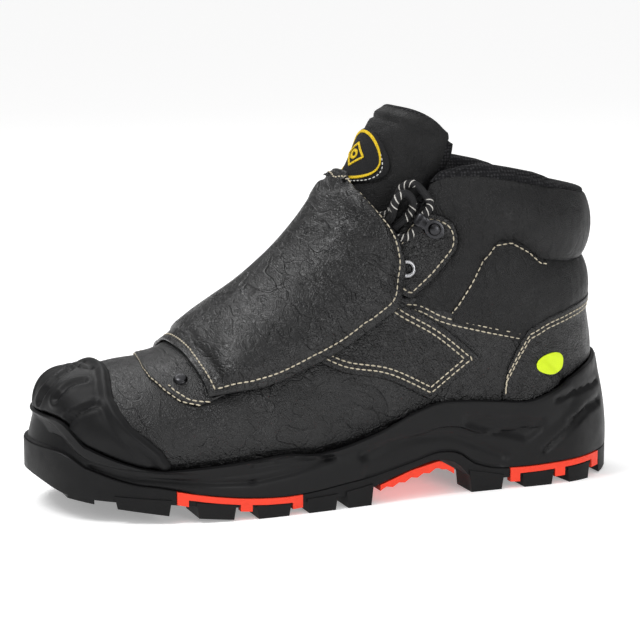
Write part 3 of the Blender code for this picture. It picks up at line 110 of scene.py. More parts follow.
# Sections of the upper from the toe tip back to the topline. Each runs from its
# front (the vamp ridge, then the edge of the throat) to its base (the feather
# line, then the back seam). x is a share of HALF_LENGTH, z and hump of
# COLLAR_HEIGHT, widths of HALF_BALL. base is the share of the width left at
# the feather line, full_at the share of the way down where it is widest.
SECTION_COLUMNS = (
    "base_x", "base_z", "front_x", "front_z", "lateral", "medial",
    "base", "full_at", "edge", "centre", "hump",
)
SECTIONS = (
    (-0.932, 0.175, -0.945, 0.319, 0.000, 0.000, 0.86, 0.60, 0.000, 0.110, 0.000),
    (-0.915, 0.170, -0.928, 0.362, 0.330, 0.300, 0.86, 0.60, 0.000, 0.110, 0.000),
    (-0.862, 0.156, -0.884, 0.391, 0.617, 0.560, 0.86, 0.60, 0.000, 0.110, 0.000),
    (-0.782, 0.140, -0.802, 0.403, 0.820, 0.710, 0.86, 0.60, 0.000, 0.110, 0.000),
    (-0.680, 0.122, -0.693, 0.424, 0.935, 0.776, 0.86, 0.60, 0.000, 0.110, 0.000),
    (-0.523, 0.113, -0.536, 0.447, 1.000, 0.820, 0.86, 0.62, 0.000, 0.095, 0.000),
    (-0.340, 0.113, -0.360, 0.544, 1.010, 0.810, 0.86, 0.64, 0.000, 0.090, 0.000),
    (-0.144, 0.125, -0.203, 0.588, 0.935, 0.766, 0.84, 0.66, 0.240, 0.075, 0.000),
    (0.065, 0.150, -0.098, 0.650, 0.840, 0.730, 0.84, 0.64, 0.320, 0.055, 0.000),
    (0.294, 0.175, -0.013, 0.706, 0.766, 0.690, 0.85, 0.62, 0.370, 0.035, 0.000),
    (0.523, 0.184, 0.065, 0.762, 0.720, 0.680, 0.85, 0.60, 0.410, 0.020, 0.000),
    (0.693, 0.188, 0.124, 0.794, 0.700, 0.690, 0.84, 0.58, 0.450, 0.000, 0.000),
    (0.810, 0.190, 0.163, 0.819, 0.700, 0.690, 0.82, 0.55, 0.470, 0.000, 0.000),
    (0.879, 0.200, 0.190, 0.838, 0.700, 0.700, 0.80, 0.50, 0.475, 0.000, 0.000),
    (0.908, 0.281, 0.209, 0.856, 0.700, 0.700, 0.00, 0.50, 0.480, 0.000, 0.000),
    (0.915, 0.400, 0.225, 0.875, 0.705, 0.705, 0.00, 0.50, 0.485, 0.000, 0.010),
    (0.889, 0.562, 0.242, 0.894, 0.715, 0.715, 0.00, 0.50, 0.490, 0.000, 0.030),
    (0.876, 0.738, 0.255, 0.906, 0.730, 0.730, 0.00, 0.50, 0.495, 0.000, 0.055),
    (0.866, 0.906, 0.268, 0.919, 0.740, 0.740, 0.00, 0.50, 0.500, 0.000, 0.075),
)
TOPLINE = len(SECTIONS) - 1
THROAT = 6
HEEL_CORNER = 13
HEEL_CENTRE = 0.62
HUMP_SKEW = 0.45
TOP_ROUNDNESS = 0.90
FULL_SPLIT = 0.55

# Outline of the sole seen from above, from the toe tip to the back of the heel:
# x as a share of HALF_LENGTH, the rest as shares of HALF_BALL.
OUTLINE = (
    (-1.000, 0.103, 0.000, 0.000),
    (-0.977, 0.103, 0.318, 0.318),
    (-0.908, 0.103, 0.617, 0.598),
    (-0.801, 0.103, 0.841, 0.794),
    (-0.654, 0.093, 0.991, 0.897),
    (-0.490, 0.075, 1.065, 0.925),
    (-0.327, 0.056, 1.056, 0.925),
    (-0.131, 0.037, 0.981, 0.804),
    (0.078, 0.019, 0.879, 0.701),
    (0.294, 0.009, 0.776, 0.664),
    (0.490, 0.000, 0.729, 0.673),
    (0.654, 0.000, 0.720, 0.701),
    (0.797, 0.000, 0.664, 0.664),
    (0.908, 0.000, 0.486, 0.486),
    (0.977, 0.000, 0.252, 0.252),
    (1.000, 0.000, 0.000, 0.000),
)
HEEL_TIP = len(OUTLINE) - 1

# Heights along the sole, as shares of COLLAR_HEIGHT at shares of HALF_LENGTH:
# the rim is the midsole's top edge, the joint is where it meets the outsole,
# and the tread is the outsole's underside between the lugs.
HEIGHT_COLUMNS = ("x", "rim", "joint", "tread")
HEIGHTS = (
    (-1.00, 0.300, 0.212, 0.120),
    (-0.93, 0.290, 0.200, 0.080),
    (-0.87, 0.230, 0.160, 0.070),
    (-0.74, 0.178, 0.120, 0.062),
    (-0.65, 0.160, 0.106, 0.058),
    (-0.54, 0.164, 0.084, 0.048),
    (-0.38, 0.174, 0.065, 0.036),
    (-0.25, 0.184, 0.058, 0.034),
    (-0.15, 0.174, 0.064, 0.034),
    (-0.05, 0.186, 0.076, 0.037),
    (0.04, 0.208, 0.086, 0.050),
    (0.11, 0.232, 0.100, 0.072),
    (0.20, 0.270, 0.118, 0.096),
    (0.29, 0.294, 0.136, 0.112),
    (0.36, 0.294, 0.128, 0.092),
    (0.42, 0.290, 0.090, 0.036),
    (0.50, 0.282, 0.068, 0.034),
    (0.61, 0.275, 0.066, 0.034),
    (0.69, 0.294, 0.068, 0.034),
    (0.77, 0.325, 0.072, 0.035),
    (0.86, 0.356, 0.076, 0.040),
    (1.00, 0.388, 0.086, 0.052),
)

# The seam across the ankle padding and the top edge of the quarter,
# as shares of HALF_LENGTH and COLLAR_HEIGHT.
PAD_SEAM = ((0.34, 0.565), (0.37, 0.600), (0.41, 0.660), (0.45, 0.734), (0.49, 0.780), (0.54, 0.785),
            (0.60, 0.753), (0.64, 0.719), (0.69, 0.709), (0.76, 0.700), (0.90, 0.706))
QUARTER_TOP = ((0.18, 0.600), (0.27, 0.581), (0.41, 0.537), (0.59, 0.481), (0.90, 0.550))
QUARTER_EDGE = ((0.18, 0.612), (0.23, 0.607), (0.302, 0.573), (0.437, 0.536), (0.578, 0.504))
COLLAR_PUFF = 0.0050
ANKLE_PUFF = 0.0030
SHAFT_AXIS = 0.575 * HALF_LENGTH


def smooth_step(value, low, high):
    """Rises smoothly from 0 at low to 1 at high."""
    t = min(max((value - low) / (high - low), 0.0), 1.0)
    return t * t * (3 - 2 * t)


def read_row(table, position, odd=(), mirror_end=False):
    """Catmull-Rom value of each column at a row position. Odd columns change sign past a closed tip."""
    last = len(table) - 1
    i = min(max(int(position), 0), last - 1)
    t = position - i
    flip = np.array([-1.0 if k in odd else 1.0 for k in range(len(table[0]))])
    p1, p2 = np.array(table[i]), np.array(table[i + 1])
    p0 = np.array(table[i - 1]) if i > 0 else (p2 * flip if odd else 2 * p1 - p2)
    if i + 2 <= last:
        p3 = np.array(table[i + 2])
    else:
        p3 = p1 * flip if mirror_end else 2 * p2 - p1
    return 0.5 * (
        2 * p1 + (p2 - p0) * t + (2 * p0 - 5 * p1 + 4 * p2 - p3) * t * t
        + (3 * p1 - p0 - 3 * p2 + p3) * t ** 3
    )


def line_height(points, x):
    """Height of a line given as shares of HALF_LENGTH and COLLAR_HEIGHT, at x."""
    shares = np.array(points)
    return float(np.interp(x / HALF_LENGTH, shares[:, 0], shares[:, 1])) * COLLAR_HEIGHT


def sole_height(name, x):
    """Height of one of the HEIGHTS columns at x, read as a smooth curve."""
    shares = np.array([row[0] for row in HEIGHTS])
    share = min(max(x / HALF_LENGTH, -1.0), 1.0)
    i = int(min(np.searchsorted(shares, share, side="right") - 1, len(HEIGHTS) - 2))
    position = i + (share - shares[i]) / (shares[i + 1] - shares[i])
    return read_row(HEIGHTS, position)[HEIGHT_COLUMNS.index(name)] * COLLAR_HEIGHT


def ground(x):
    """Height of the lugs' undersides: flat, with toe spring and a bevel at the back of the heel."""
    spring_start, bevel_start = -0.34 * HALF_LENGTH, 0.88 * HALF_LENGTH
    toe = max(0.0, (spring_start - x) / (spring_start + HALF_LENGTH)) ** 1.5
    heel = max(0.0, (x - bevel_start) / (HALF_LENGTH - bevel_start)) ** 1.5
    return TOE_SPRING * toe + HEEL_BEVEL * heel


def puff(x, z):
    """How far the collar and ankle padding swell outwards."""
    seam, edge = line_height(PAD_SEAM, x), line_height(QUARTER_TOP, x)
    top = 0.93 * COLLAR_HEIGHT
    front = smooth_step(x, 0.30 * HALF_LENGTH, 0.50 * HALF_LENGTH)
    if z > seam:
        share = min((z - seam) / max(top - seam, 0.01), 1.0)
        return COLLAR_PUFF * front * math.sin(math.pi * share) ** 0.7
    if z > edge:
        return ANKLE_PUFF * front * math.sin(math.pi * (z - edge) / max(seam - edge, 0.005)) ** 0.7
    return 0.0


def skin(row, s, side):
    """A point on the upper's outside. s runs from the section's front (0) to its base (1)."""
    c = dict(zip(SECTION_COLUMNS, read_row(SECTIONS, row, odd=(4, 5))))
    wide = max(c["lateral"] if side == LATERAL else c["medial"], 0.0)
    start = math.asin(min(c["edge"] / wide, 0.95)) if row > THROAT and wide > 0 else 0.0
    heel_start = HEEL_CENTRE
    closing = max(0.0, (c["base_x"] - heel_start) / (SECTIONS[HEEL_CORNER][0] - heel_start))
    base = c["base"] * math.sqrt(max(0.0, 1 - closing ** 2)) if row < HEEL_CORNER else 0.0
    if s < FULL_SPLIT:
        angle = start + (RIGHT_ANGLE - start) * s / FULL_SPLIT
        along = c["full_at"] * (math.cos(start) - math.cos(angle)) / math.cos(start)
        out = wide * math.sin(angle) ** TOP_ROUNDNESS
    else:
        angle = RIGHT_ANGLE * (s - FULL_SPLIT) / (1 - FULL_SPLIT)
        along = c["full_at"] + (1 - c["full_at"]) * math.sin(angle)
        out = wide * (base + (1 - base) * math.cos(angle))
    x = (c["front_x"] + (c["base_x"] - c["front_x"]) * along) * HALF_LENGTH
    z = c["front_z"] + (c["base_z"] - c["front_z"]) * along
    z = (z + c["hump"] * math.sin(math.pi * min(along, 1.0) ** HUMP_SKEW)) * COLLAR_HEIGHT
    y = (c["centre"] + side * out) * HALF_BALL
    swell = puff(x, z)
    if swell > 0:
        away = Vector((x - SHAFT_AXIS, y))
        away = away.normalized() * swell if away.length > 0.001 else Vector((0, 0))
        x, y = x + away.x, y + away.y
    return Vector((x, y, z))


def sole_outline(position, side, inset=0.0):
    """A point (x, y) on the sole's outline, moved in towards its spine by inset."""
    x, centre, lateral, medial = read_row(OUTLINE, position, odd=(2, 3), mirror_end=True)
    wide = lateral if side == LATERAL else medial
    point = Vector((x * HALF_LENGTH, (centre + side * max(wide, 0.0)) * HALF_BALL))
    return point + (spine(point.x) - point).normalized() * inset


def spine(x):
    """The middle of the sole nearest a station, from which walls are measured."""
    share = min(max(x / HALF_LENGTH, -0.69), 0.74)
    shares = [row[0] for row in OUTLINE]
    centre = float(np.interp(share, shares, [row[1] for row in OUTLINE]))
    return Vector((share * HALF_LENGTH, centre * HALF_BALL))


def stations(step=0.5):
    """Stations round the sole's outline, tip to heel along the lateral side and back along the medial."""
    count = int(round(HEEL_TIP / step))
    there = [(i * step, LATERAL) for i in range(count + 1)]
    back = [(i * step, MEDIAL) for i in range(count - 1, 0, -1)]
    return there + back


# Finishes


class Finish:
    """A material whose nodes are added one by one, in metres on the object."""

    def __init__(self, name, base, roughness, metallic=0.0, specular=0.32):
        self.made = bpy.data.materials.new(name)
        self.made.use_nodes = True
        self.tree = self.made.node_tree
        self.shader = self.tree.nodes["Principled BSDF"]
        self.shader.inputs["Base Color"].default_value = (*base, 1.0)
        self.shader.inputs["Roughness"].default_value = roughness
        self.shader.inputs["Metallic"].default_value = metallic
        self.shader.inputs["Specular IOR Level"].default_value = specular
        self.relief = None
        self.at = self.add("ShaderNodeTexCoord").outputs["Object"]

    def add(self, kind, inputs=None, **options):
        made = self.tree.nodes.new(kind)
        for key, value in options.items():
            setattr(made, key, value)
        for key, value in (inputs or {}).items():
            if isinstance(value, bpy.types.NodeSocket):
                self.tree.links.new(value, made.inputs[key])
            else:
                made.inputs[key].default_value = value
        return made

    def noise(self, size, detail=2.0, roughness=0.5, at=None):
        made = self.add("ShaderNodeTexNoise", {
            "Vector": at or self.at, "Scale": 1.0 / size, "Detail": detail, "Roughness": roughness})
        return made.outputs["Fac"]

    def warped(self, size, amount):
        """The place on the object, drifting by amount over size."""
        drift = self.add("ShaderNodeTexNoise", {"Vector": self.at, "Scale": 1.0 / size, "Detail": 2.0})
        centred = self.add("ShaderNodeVectorMath", {0: drift.outputs["Color"], 1: (0.5, 0.5, 0.5)},
                           operation="SUBTRACT")
        scaled = self.add("ShaderNodeVectorMath", {0: centred.outputs[0], "Scale": amount},
                          operation="SCALE")
        moved = self.add("ShaderNodeVectorMath", {0: self.at, 1: scaled.outputs[0]}, operation="ADD")
        return moved.outputs[0]

    def cells(self, size, at=None, feature="DISTANCE_TO_EDGE", randomness=1.0):
        made = self.add("ShaderNodeTexVoronoi", {
            "Vector": at or self.at, "Scale": 1.0 / size, "Randomness": randomness}, feature=feature)
        return made.outputs["Distance"]

    def creases(self, turn, size, narrow):
        """Long fine lines that run one way, fade out in places and leave a height of one between them."""
        turned = self.add("ShaderNodeMapping", {
            "Vector": self.at, "Rotation": turn, "Scale": (1.0, 0.35, 1.0)})
        ground = self.noise(size, 1.0, 0.4, turned.outputs[0])
        off_line = self.maths("ABSOLUTE", self.maths("SUBTRACT", ground, 0.5))
        shown = self.ramp(self.noise(size * 1.7, 1.0), 0.40, 0.62)
        return self.maths("MAXIMUM", self.ramp(off_line, 0.0, narrow), self.maths("SUBTRACT", 1.0, shown))

    def ramp(self, value, low, high, to_low=0.0, to_high=1.0):
        made = self.add("ShaderNodeMapRange", {
            "Value": value, "From Min": low, "From Max": high, "To Min": to_low, "To Max": to_high},
            interpolation_type="SMOOTHSTEP")
        return made.outputs["Result"]

    def maths(self, operation, a, b=0.0, c=0.0):
        return self.add("ShaderNodeMath", {0: a, 1: b, 2: c}, operation=operation).outputs[0]

    def blend(self, share, first, second):
        made = self.add("ShaderNodeMix", data_type="RGBA")
        for index, value in ((0, share), (6, first), (7, second)):
            if isinstance(value, bpy.types.NodeSocket):
                self.tree.links.new(value, made.inputs[index])
            else:
                made.inputs[index].default_value = value if index == 0 else (*value, 1.0)
        return made.outputs[2]

    def colour(self, socket):
        self.tree.links.new(socket, self.shader.inputs["Base Color"])

    def roughness(self, socket):
        self.tree.links.new(socket, self.shader.inputs["Roughness"])

    def raised(self, height, depth):
        """Adds relief of a real depth in metres."""
        bump = self.add("ShaderNodeBump", {"Height": height, "Strength": 1.0, "Distance": depth})
        if self.relief is not None:
            self.tree.links.new(self.relief, bump.inputs["Normal"])
        self.relief = bump.outputs["Normal"]
        self.tree.links.new(self.relief, self.shader.inputs["Normal"])


def shade(colour, by):
    return tuple(c * by for c in colour)


# Sets of creases: the way they run, their size in wrinkles, how narrow they are, and their depth in metres
CREASE_SETS = (
    ((0.3, 0.5, 0.2), 0.9, 0.018, 0.00022),
    ((-0.4, -0.7, 0.9), 0.65, 0.022, 0.00018),
    ((0.2, 1.3, -0.5), 0.40, 0.030, 0.00012),
    ((0.9, 0.1, 1.4), 0.25, 0.040, 0.00008),
    ((1.3, -0.6, 0.4), 0.20, 0.045, 0.00007),
)


def leather(name, roughness, cell, depth, wrinkle, wrinkle_depth, crease):
    """Full-grain leather: fine pebbles and pores, soft undulation, thin crossing creases, uneven gloss, and
    painted shade in the crevices between the pebbles.
    """
    look = bpy.context.scene.boot_leather
    base = tuple(look.colour)
    made = Finish(name, base, roughness, specular=0.42)
    made.raised(made.noise(wrinkle, 2.0, 0.5), wrinkle_depth * look.wrinkle)
    for turn, size, narrow, strength in CREASE_SETS:
        lines = made.creases(turn, wrinkle * size, narrow)
        made.raised(lines, strength * crease * look.wrinkle)
    pebble = made.ramp(made.cells(cell, made.warped(cell * 6, cell * 0.8)), 0.0, 0.34)
    made.raised(pebble, depth * look.grain)
    made.raised(made.noise(cell * 0.30, 2.0), depth * 0.4 * look.grain)
    worn = made.noise(0.013, 3.0)
    made.roughness(made.ramp(worn, 0.25, 0.75, roughness - 0.07, roughness + 0.09))
    # Painted shade: the crevices between the pebbles are darkened to half the leather's colour.
    made.colour(made.blend(pebble, shade(base, 0.5), base))
    return made.made


def synthetic(name, roughness=0.46, lift=1.0):
    """The soft matt cover of the padding: fine grain over thin upright puckers, with painted shade in the
    grain's crevices and painted light on its tops.
    """
    base = shade(bpy.context.scene.boot_leather.colour, lift)
    made = Finish(name, base, roughness)
    drift = made.warped(0.012, 0.006)
    stretched = made.add("ShaderNodeMapping", {"Vector": drift, "Scale": (1.0, 1.0, 0.22)}).outputs[0]
    made.raised(made.noise(0.012, 3.0, 0.6, made.warped(0.02, 0.006)), 0.0012)
    made.raised(made.ramp(made.cells(0.0085, stretched), 0.0, 0.07), 0.00016)
    grain = made.ramp(made.cells(0.00080, made.warped(0.004, 0.0010)), 0.0, 0.34)
    made.raised(grain, 0.00016)
    made.raised(made.noise(0.0004, 1.0), 0.00005)
    made.roughness(made.ramp(made.noise(0.009, 2.0), 0.3, 0.7, roughness - 0.06, roughness + 0.08))
    # Painted shade and painted light: the grain's crevices are darkened and the tops between them lightened.
    made.colour(made.blend(grain, shade(base, 0.4), shade(base, 1.3)))
    return made.made


def lining(name):
    """Knitted spacer lining with small raised cells and painted shade in the gaps between them."""
    made = Finish(name, (0.012, 0.012, 0.013), 0.85, specular=0.2)
    knit = made.cells(0.0016, made.warped(0.006, 0.0005), "F1", 0.25)
    bead = made.ramp(knit, 0.15, 0.62, 1.0, 0.0)
    made.raised(bead, 0.0006)
    made.raised(made.noise(0.00045, 2.0), 0.00025)
    # Painted shade: the gaps between the raised cells are darkened and the cells' tops kept lighter.
    made.colour(made.blend(bead, (0.004, 0.004, 0.005), (0.030, 0.030, 0.032)))
    return made.made


def moulded(name, colour, roughness, fleck=0.00004):
    """Moulded rubber: a fine matt skin with faint flow marks."""
    made = Finish(name, colour, roughness, specular=0.20)
    made.raised(made.noise(0.02, 2.0), 0.0003)
    made.raised(made.noise(0.0006, 2.0), fleck)
    marks = made.noise(0.012, 4.0, 0.6)
    made.roughness(made.ramp(marks, 0.3, 0.7, roughness - 0.05, roughness + 0.08))
    made.colour(made.blend(marks, shade(colour, 0.85), shade(colour, 1.15)))
    return made.made


def metal(name, colour, roughness):
    made = Finish(name, colour, roughness, metallic=1.0)
    rub = made.noise(0.0009, 4.0, 0.7)
    made.roughness(made.ramp(rub, 0.3, 0.7, roughness - 0.06, roughness + 0.12))
    made.raised(rub, 0.00002)
    made.colour(made.blend(rub, shade(colour, 0.75), shade(colour, 1.2)))
    return made.made


def thread(name, colour):
    """Twisted sewing thread, with painted shade where its plies sink."""
    made = Finish(name, colour, 0.75, specular=0.25)
    ply = made.noise(0.0003, 2.0)
    made.raised(ply, 0.00008)
    # Painted shade: the thread is darker where its plies sink.
    made.colour(made.blend(ply, shade(colour, 0.7), shade(colour, 1.1)))
    return made.made


def woven(name, colour, size=0.0007):
    """Woven label cloth and footbed cloth, with painted shade in the gaps of the weave."""
    made = Finish(name, colour, 0.8, specular=0.25)
    weave = made.ramp(made.cells(size, None, "F1", 0.15), 0.2, 0.6, 1.0, 0.0)
    made.raised(weave, size * 0.25)
    # Painted shade: the gaps of the weave are darkened and the raised threads lightened.
    made.colour(made.blend(weave, shade(colour, 0.65), shade(colour, 1.15)))
    return made.made


def braided(name):
    """Round braided lace with groups of slanted pale dashes; UV runs round and along it."""
    made = Finish(name, (0.015, 0.015, 0.016), 0.75, specular=0.3)
    uv = made.add("ShaderNodeUVMap", uv_map="along").outputs["UV"]
    split = made.add("ShaderNodeSeparateXYZ", {0: uv})
    u, v = split.outputs[0], split.outputs[1]
    strands = made.maths("MULTIPLY", u, 6.0)
    rise = made.maths("MULTIPLY", v, 1000.0)
    one = made.maths("SINE", made.maths("MULTIPLY", made.maths("ADD", strands, rise), 6.2832))
    two = made.maths("SINE", made.maths("MULTIPLY", made.maths("SUBTRACT", strands, rise), 6.2832))
    made.raised(made.maths("MULTIPLY", one, two), 0.00018)
    around, along = made.maths("MULTIPLY", u, 2.0), made.maths("MULTIPLY", v, 330.0)
    slant = made.maths("FRACT", made.maths("ADD", around, along))
    group = made.maths("FRACT", made.maths("MULTIPLY", v, 55.0))
    dash = made.maths("MULTIPLY", made.ramp(slant, 0.78, 0.84), made.ramp(group, 0.48, 0.52))
    made.colour(made.blend(dash, (0.014, 0.014, 0.015), (0.62, 0.60, 0.56)))
    return made.made


def reflective(name):
    """Silvery tape with fine glass beads, each with a painted glint at its middle."""
    made = Finish(name, (0.62, 0.62, 0.60), 0.35, metallic=0.4)
    bead = made.cells(0.0005, None, "F1", 0.4)
    made.raised(bead, 0.00008)
    # Painted glint: each bead is lighter at its middle and darker towards its edge.
    made.colour(made.blend(made.ramp(bead, 0.2, 0.6), (0.75, 0.75, 0.73), (0.45, 0.45, 0.44)))
    return made.made


FINISHES = {}


def finish(name):
    """The finished material of a name, made once."""
    if name in FINISHES:
        return FINISHES[name]
    sole = bpy.context.scene.boot_sole
    sewing = bpy.context.scene.boot_sewing
    makers = {
        "smooth_leather": lambda: leather(name, 0.36, 0.0010, 0.00012, 0.016, 0.0012, 1.2),
        "guard_leather": lambda: leather(name, 0.31, 0.0011, 0.00010, 0.017, 0.0020, 2.4),
        "strap_leather": lambda: leather(name, 0.36, 0.0014, 0.00022, 0.012, 0.0014, 1.8),
        "soft_cover": lambda: synthetic(name),
        "tongue_cover": lambda: synthetic(name, 0.60, 0.9),
        "lining": lambda: lining(name),
        "toe_rubber": lambda: moulded(name, sole.rubber, 0.50),
        "sole_foam": lambda: moulded(name, sole.rubber, 0.44),
        "tread_rubber": lambda: moulded(name, shade(sole.rubber, 0.8), 0.52, 0.00006),
        "coral": lambda: moulded(name, sole.insert, 0.42),
        "footbed": lambda: woven(name, (0.02, 0.02, 0.022), 0.0012),
        "gunmetal": lambda: metal(name, (0.045, 0.045, 0.048), 0.30),
        "eyelet": lambda: metal(name, (0.32, 0.32, 0.33), 0.26),
        "cream_thread": lambda: thread(name, sewing.colour),
        "white_thread": lambda: thread(name, (0.75, 0.75, 0.72)),
        "label_cloth": lambda: woven(name, (0.012, 0.012, 0.013)),
        "label_yellow": lambda: woven(name, (0.85, 0.58, 0.02)),
        "heel_lime": lambda: moulded(name, (0.62, 0.80, 0.02), 0.45),
        "lace": lambda: braided(name),
        "tape": lambda: reflective(name),
    }
    FINISHES[name] = makers[name]()
    return FINISHES[name]


# Finished pieces


def own(made, looks, nodes=()):
    """Gives a finished object its materials, its body and the nodes it stands for."""
    for look in looks:
        made.data.materials.append(finish(look))
    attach(made, "root")
    if nodes:
        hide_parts(*nodes)
    return made


def piece(name, points, faces, looks, nodes=(), sharp=50.0, kinds=None):
    """Makes a finished closed piece; kinds picks each face's material."""
    mesh = bpy.data.meshes.new(name)
    mesh.from_pydata([tuple(p) for p in points], [], [list(f) for f in faces])
    if kinds:
        mesh.polygons.foreach_set("material_index", kinds)
    work = bmesh.new()
    work.from_mesh(mesh)
    bmesh.ops.remove_doubles(work, verts=work.verts, dist=1e-6)
    bmesh.ops.dissolve_degenerate(work, edges=work.edges, dist=1e-6)
    bmesh.ops.recalc_face_normals(work, faces=work.faces)
    work.to_mesh(mesh)
    work.free()
    mesh.shade_smooth()
    mesh.set_sharp_from_angle(angle=math.radians(sharp))
    made = bpy.data.objects.new(name, mesh)
    bpy.context.scene.collection.objects.link(made)
    return own(made, looks, nodes)


def rough(points, faces):
    """A plain object for shaping others."""
    mesh = bpy.data.meshes.new("rough")
    mesh.from_pydata([tuple(p) for p in points], [], [list(f) for f in faces])
    work = bmesh.new()
    work.from_mesh(mesh)
    bmesh.ops.remove_doubles(work, verts=work.verts, dist=1e-6)
    bmesh.ops.dissolve_degenerate(work, edges=work.edges, dist=1e-6)
    bmesh.ops.recalc_face_normals(work, faces=work.faces)
    work.to_mesh(mesh)
    work.free()
    made = bpy.data.objects.new("rough", mesh)
    bpy.context.scene.collection.objects.link(made)
    return made


def tree_of(made):
    """A search tree of an object's own mesh."""
    mesh = made.data
    return BVHTree.FromPolygons([v.co for v in mesh.vertices], [list(p.vertices) for p in mesh.polygons])


# Mesh helpers


def welded(points, faces, within=2e-6):
    """Merges points that coincide and drops the faces that collapse."""
    keys, index, kept = {}, [], []
    for p in points:
        key = tuple(int(round(v / within)) for v in p)
        if key not in keys:
            keys[key] = len(kept)
            kept.append(Vector(p))
        index.append(keys[key])
    whole = []
    for face in faces:
        ring = []
        for v in face:
            if index[v] not in ring:
                ring.append(index[v])
        if len(ring) > 2:
            whole.append(ring)
    return kept, whole


def vertex_normals(points, faces):
    normals = [Vector((0, 0, 0)) for _ in points]
    for face in faces:
        area = Vector((0, 0, 0))
        for a, b in zip(face, face[1:] + face[:1]):
            area += points[a].cross(points[b])
        for v in face:
            normals[v] += area
    return [n.normalized() for n in normals]


def border_edges(faces):
    """The directed edges that belong to one face only."""
    seen = {}
    for face in faces:
        for a, b in zip(face, face[1:] + face[:1]):
            seen[(a, b)] = True
    return [edge for edge in seen if (edge[1], edge[0]) not in seen]


def sheet(points, faces, thickness, lift=0.0, rim_steps=1):
    """Turns an open surface into a closed wall: its outside is lifted by lift plus thickness
    along the normals, its inside by lift. thickness may be a list. Rims are rounded in rim_steps."""
    points, faces = welded(points, faces)
    normals = vertex_normals(points, faces)
    depth = thickness if isinstance(thickness, list) else [thickness] * len(points)
    outer = [p + n * (lift + d) for p, n, d in zip(points, normals, depth)]
    inner = [p + n * lift for p, n in zip(points, normals)]
    made = outer + inner
    count = len(points)
    walls = [list(face) for face in faces] + [[v + count for v in reversed(face)] for face in faces]
    borders = border_edges(faces)
    outwards = [Vector((0, 0, 0)) for _ in points]
    for a, b in borders:
        away = (points[b] - points[a]).cross(normals[a] + normals[b])
        for v in (a, b):
            outwards[v] += away.normalized()
    rings = {}
    for v in {v for edge in borders for v in edge}:
        ring = [v]
        for k in range(1, rim_steps):
            angle = math.pi * k / rim_steps
            middle = (outer[v] + inner[v]) / 2
            reach = outwards[v].normalized() * math.sin(angle) + normals[v] * math.cos(angle)
            made.append(middle + reach * depth[v] / 2)
            ring.append(len(made) - 1)
        rings[v] = ring + [v + count]
    for a, b in borders:
        for k in range(rim_steps):
            walls.append([rings[a][k], rings[a][k + 1], rings[b][k + 1], rings[b][k]])
    return made, walls


def grid_faces(rows, columns, closed=False):
    """Quads over a grid of rows by columns; closed joins the last column to the first."""
    faces = []
    for r in range(rows - 1):
        for c in range(columns if closed else columns - 1):
            d = (c + 1) % columns
            faces.append([r * columns + c, r * columns + d, (r + 1) * columns + d, (r + 1) * columns + c])
    return faces


def across(loop):
    """Faces that fill a loop of stations by joining its lateral points to its medial ones."""
    count = len(loop)
    faces = [[loop[0], loop[1], loop[-1]]]
    for i in range(1, count // 2 - 1):
        faces.append([loop[i], loop[i + 1], loop[count - i - 1], loop[count - i]])
    middle = count // 2
    faces.append([loop[middle - 1], loop[middle], loop[middle + 1]])
    return faces


def combine(target, tool, operation):
    """Applies a Boolean to target's mesh and removes the tool."""
    modifier = target.modifiers.new("shape", "BOOLEAN")
    modifier.operation = operation
    modifier.solver = "EXACT"
    modifier.object = tool
    graph = bpy.context.evaluated_depsgraph_get()
    result = bpy.data.meshes.new_from_object(target.evaluated_get(graph))
    target.modifiers.clear()
    old = target.data
    target.data = result
    bpy.data.meshes.remove(old)
    bpy.data.objects.remove(tool)
    return target


def upper_grid(rows, shares):
    """The upper's outside as points and quads: lateral base to front, then front to medial base."""
    points, faces = [], []
    columns = len(shares) - 1
    width = 2 * len(shares)
    for row in rows:
        points += [skin(row, s, LATERAL) for s in reversed(shares)]
        points += [skin(row, s, MEDIAL) for s in shares]
    for r in range(len(rows) - 1):
        for c in range(width - 1):
            if c == columns:
                continue
            a = r * width + c
            faces.append([a, a + width, a + width + 1, a + 1])
    return points, faces


def wall_depth(point):
    """The upper's wall: leather below, padded round the ankle and thin again along the throat."""
    up = smooth_step(point.z, 0.52 * COLLAR_HEIGHT, 0.74 * COLLAR_HEIGHT)
    back = smooth_step(point.x, 0.28 * HALF_LENGTH, 0.48 * HALF_LENGTH)
    return LEATHER + (COLLAR_PADDING - LEATHER) * up * back


# Lookups on the upper


def hit(tree, origin, direction):
    found = tree.ray_cast(Vector(origin), Vector(direction).normalized())
    return (found[0], found[1]) if found[0] is not None else (None, None)


def side_point(tree, x, z, side):
    """The point of the upper's side at (x, z), with its outward normal."""
    point, normal = hit(tree, (x, side * 0.2, z), (0, -side, 0))
    if point is None:
        raise ValueError(f"nothing of the upper at x {x:.4f}, z {z:.4f}")
    return point, normal if normal.y * side > 0 else -normal


def reach(tree, station, side, z):
    """Distance from the sole's spine to the upper's outside at a station and height."""
    edge = sole_outline(station, side)
    middle = spine(edge.x)
    away = (edge - middle).normalized()
    start = middle + away * 0.2
    point, _ = hit(tree, (start.x, start.y, z), (-away.x, -away.y, 0))
    return (Vector((point.x, point.y)) - middle).length if point else None


def rim_over(point, side):
    """Height of the midsole's rim where it passes a point of the upper."""
    best, found = 1.0, 0.0
    spot = Vector((point.x, point.y))
    for k in range(4 * HEEL_TIP + 1):
        edge = sole_outline(k / 4, side)
        middle = spine(edge.x)
        along = (edge - middle).normalized()
        off = spot - middle - along * along.dot(spot - middle)
        if off.length < best and along.dot(spot - middle) > 0:
            best, found = off.length, edge.x
    return sole_height("rim", found)


def base_height(x):
    """Height of the upper's feather line at x."""
    rows = [row for row in SECTIONS[: HEEL_CORNER + 1]]
    xs, zs = [row[0] for row in rows], [row[1] for row in rows]
    return float(np.interp(x / HALF_LENGTH, xs, zs)) * COLLAR_HEIGHT


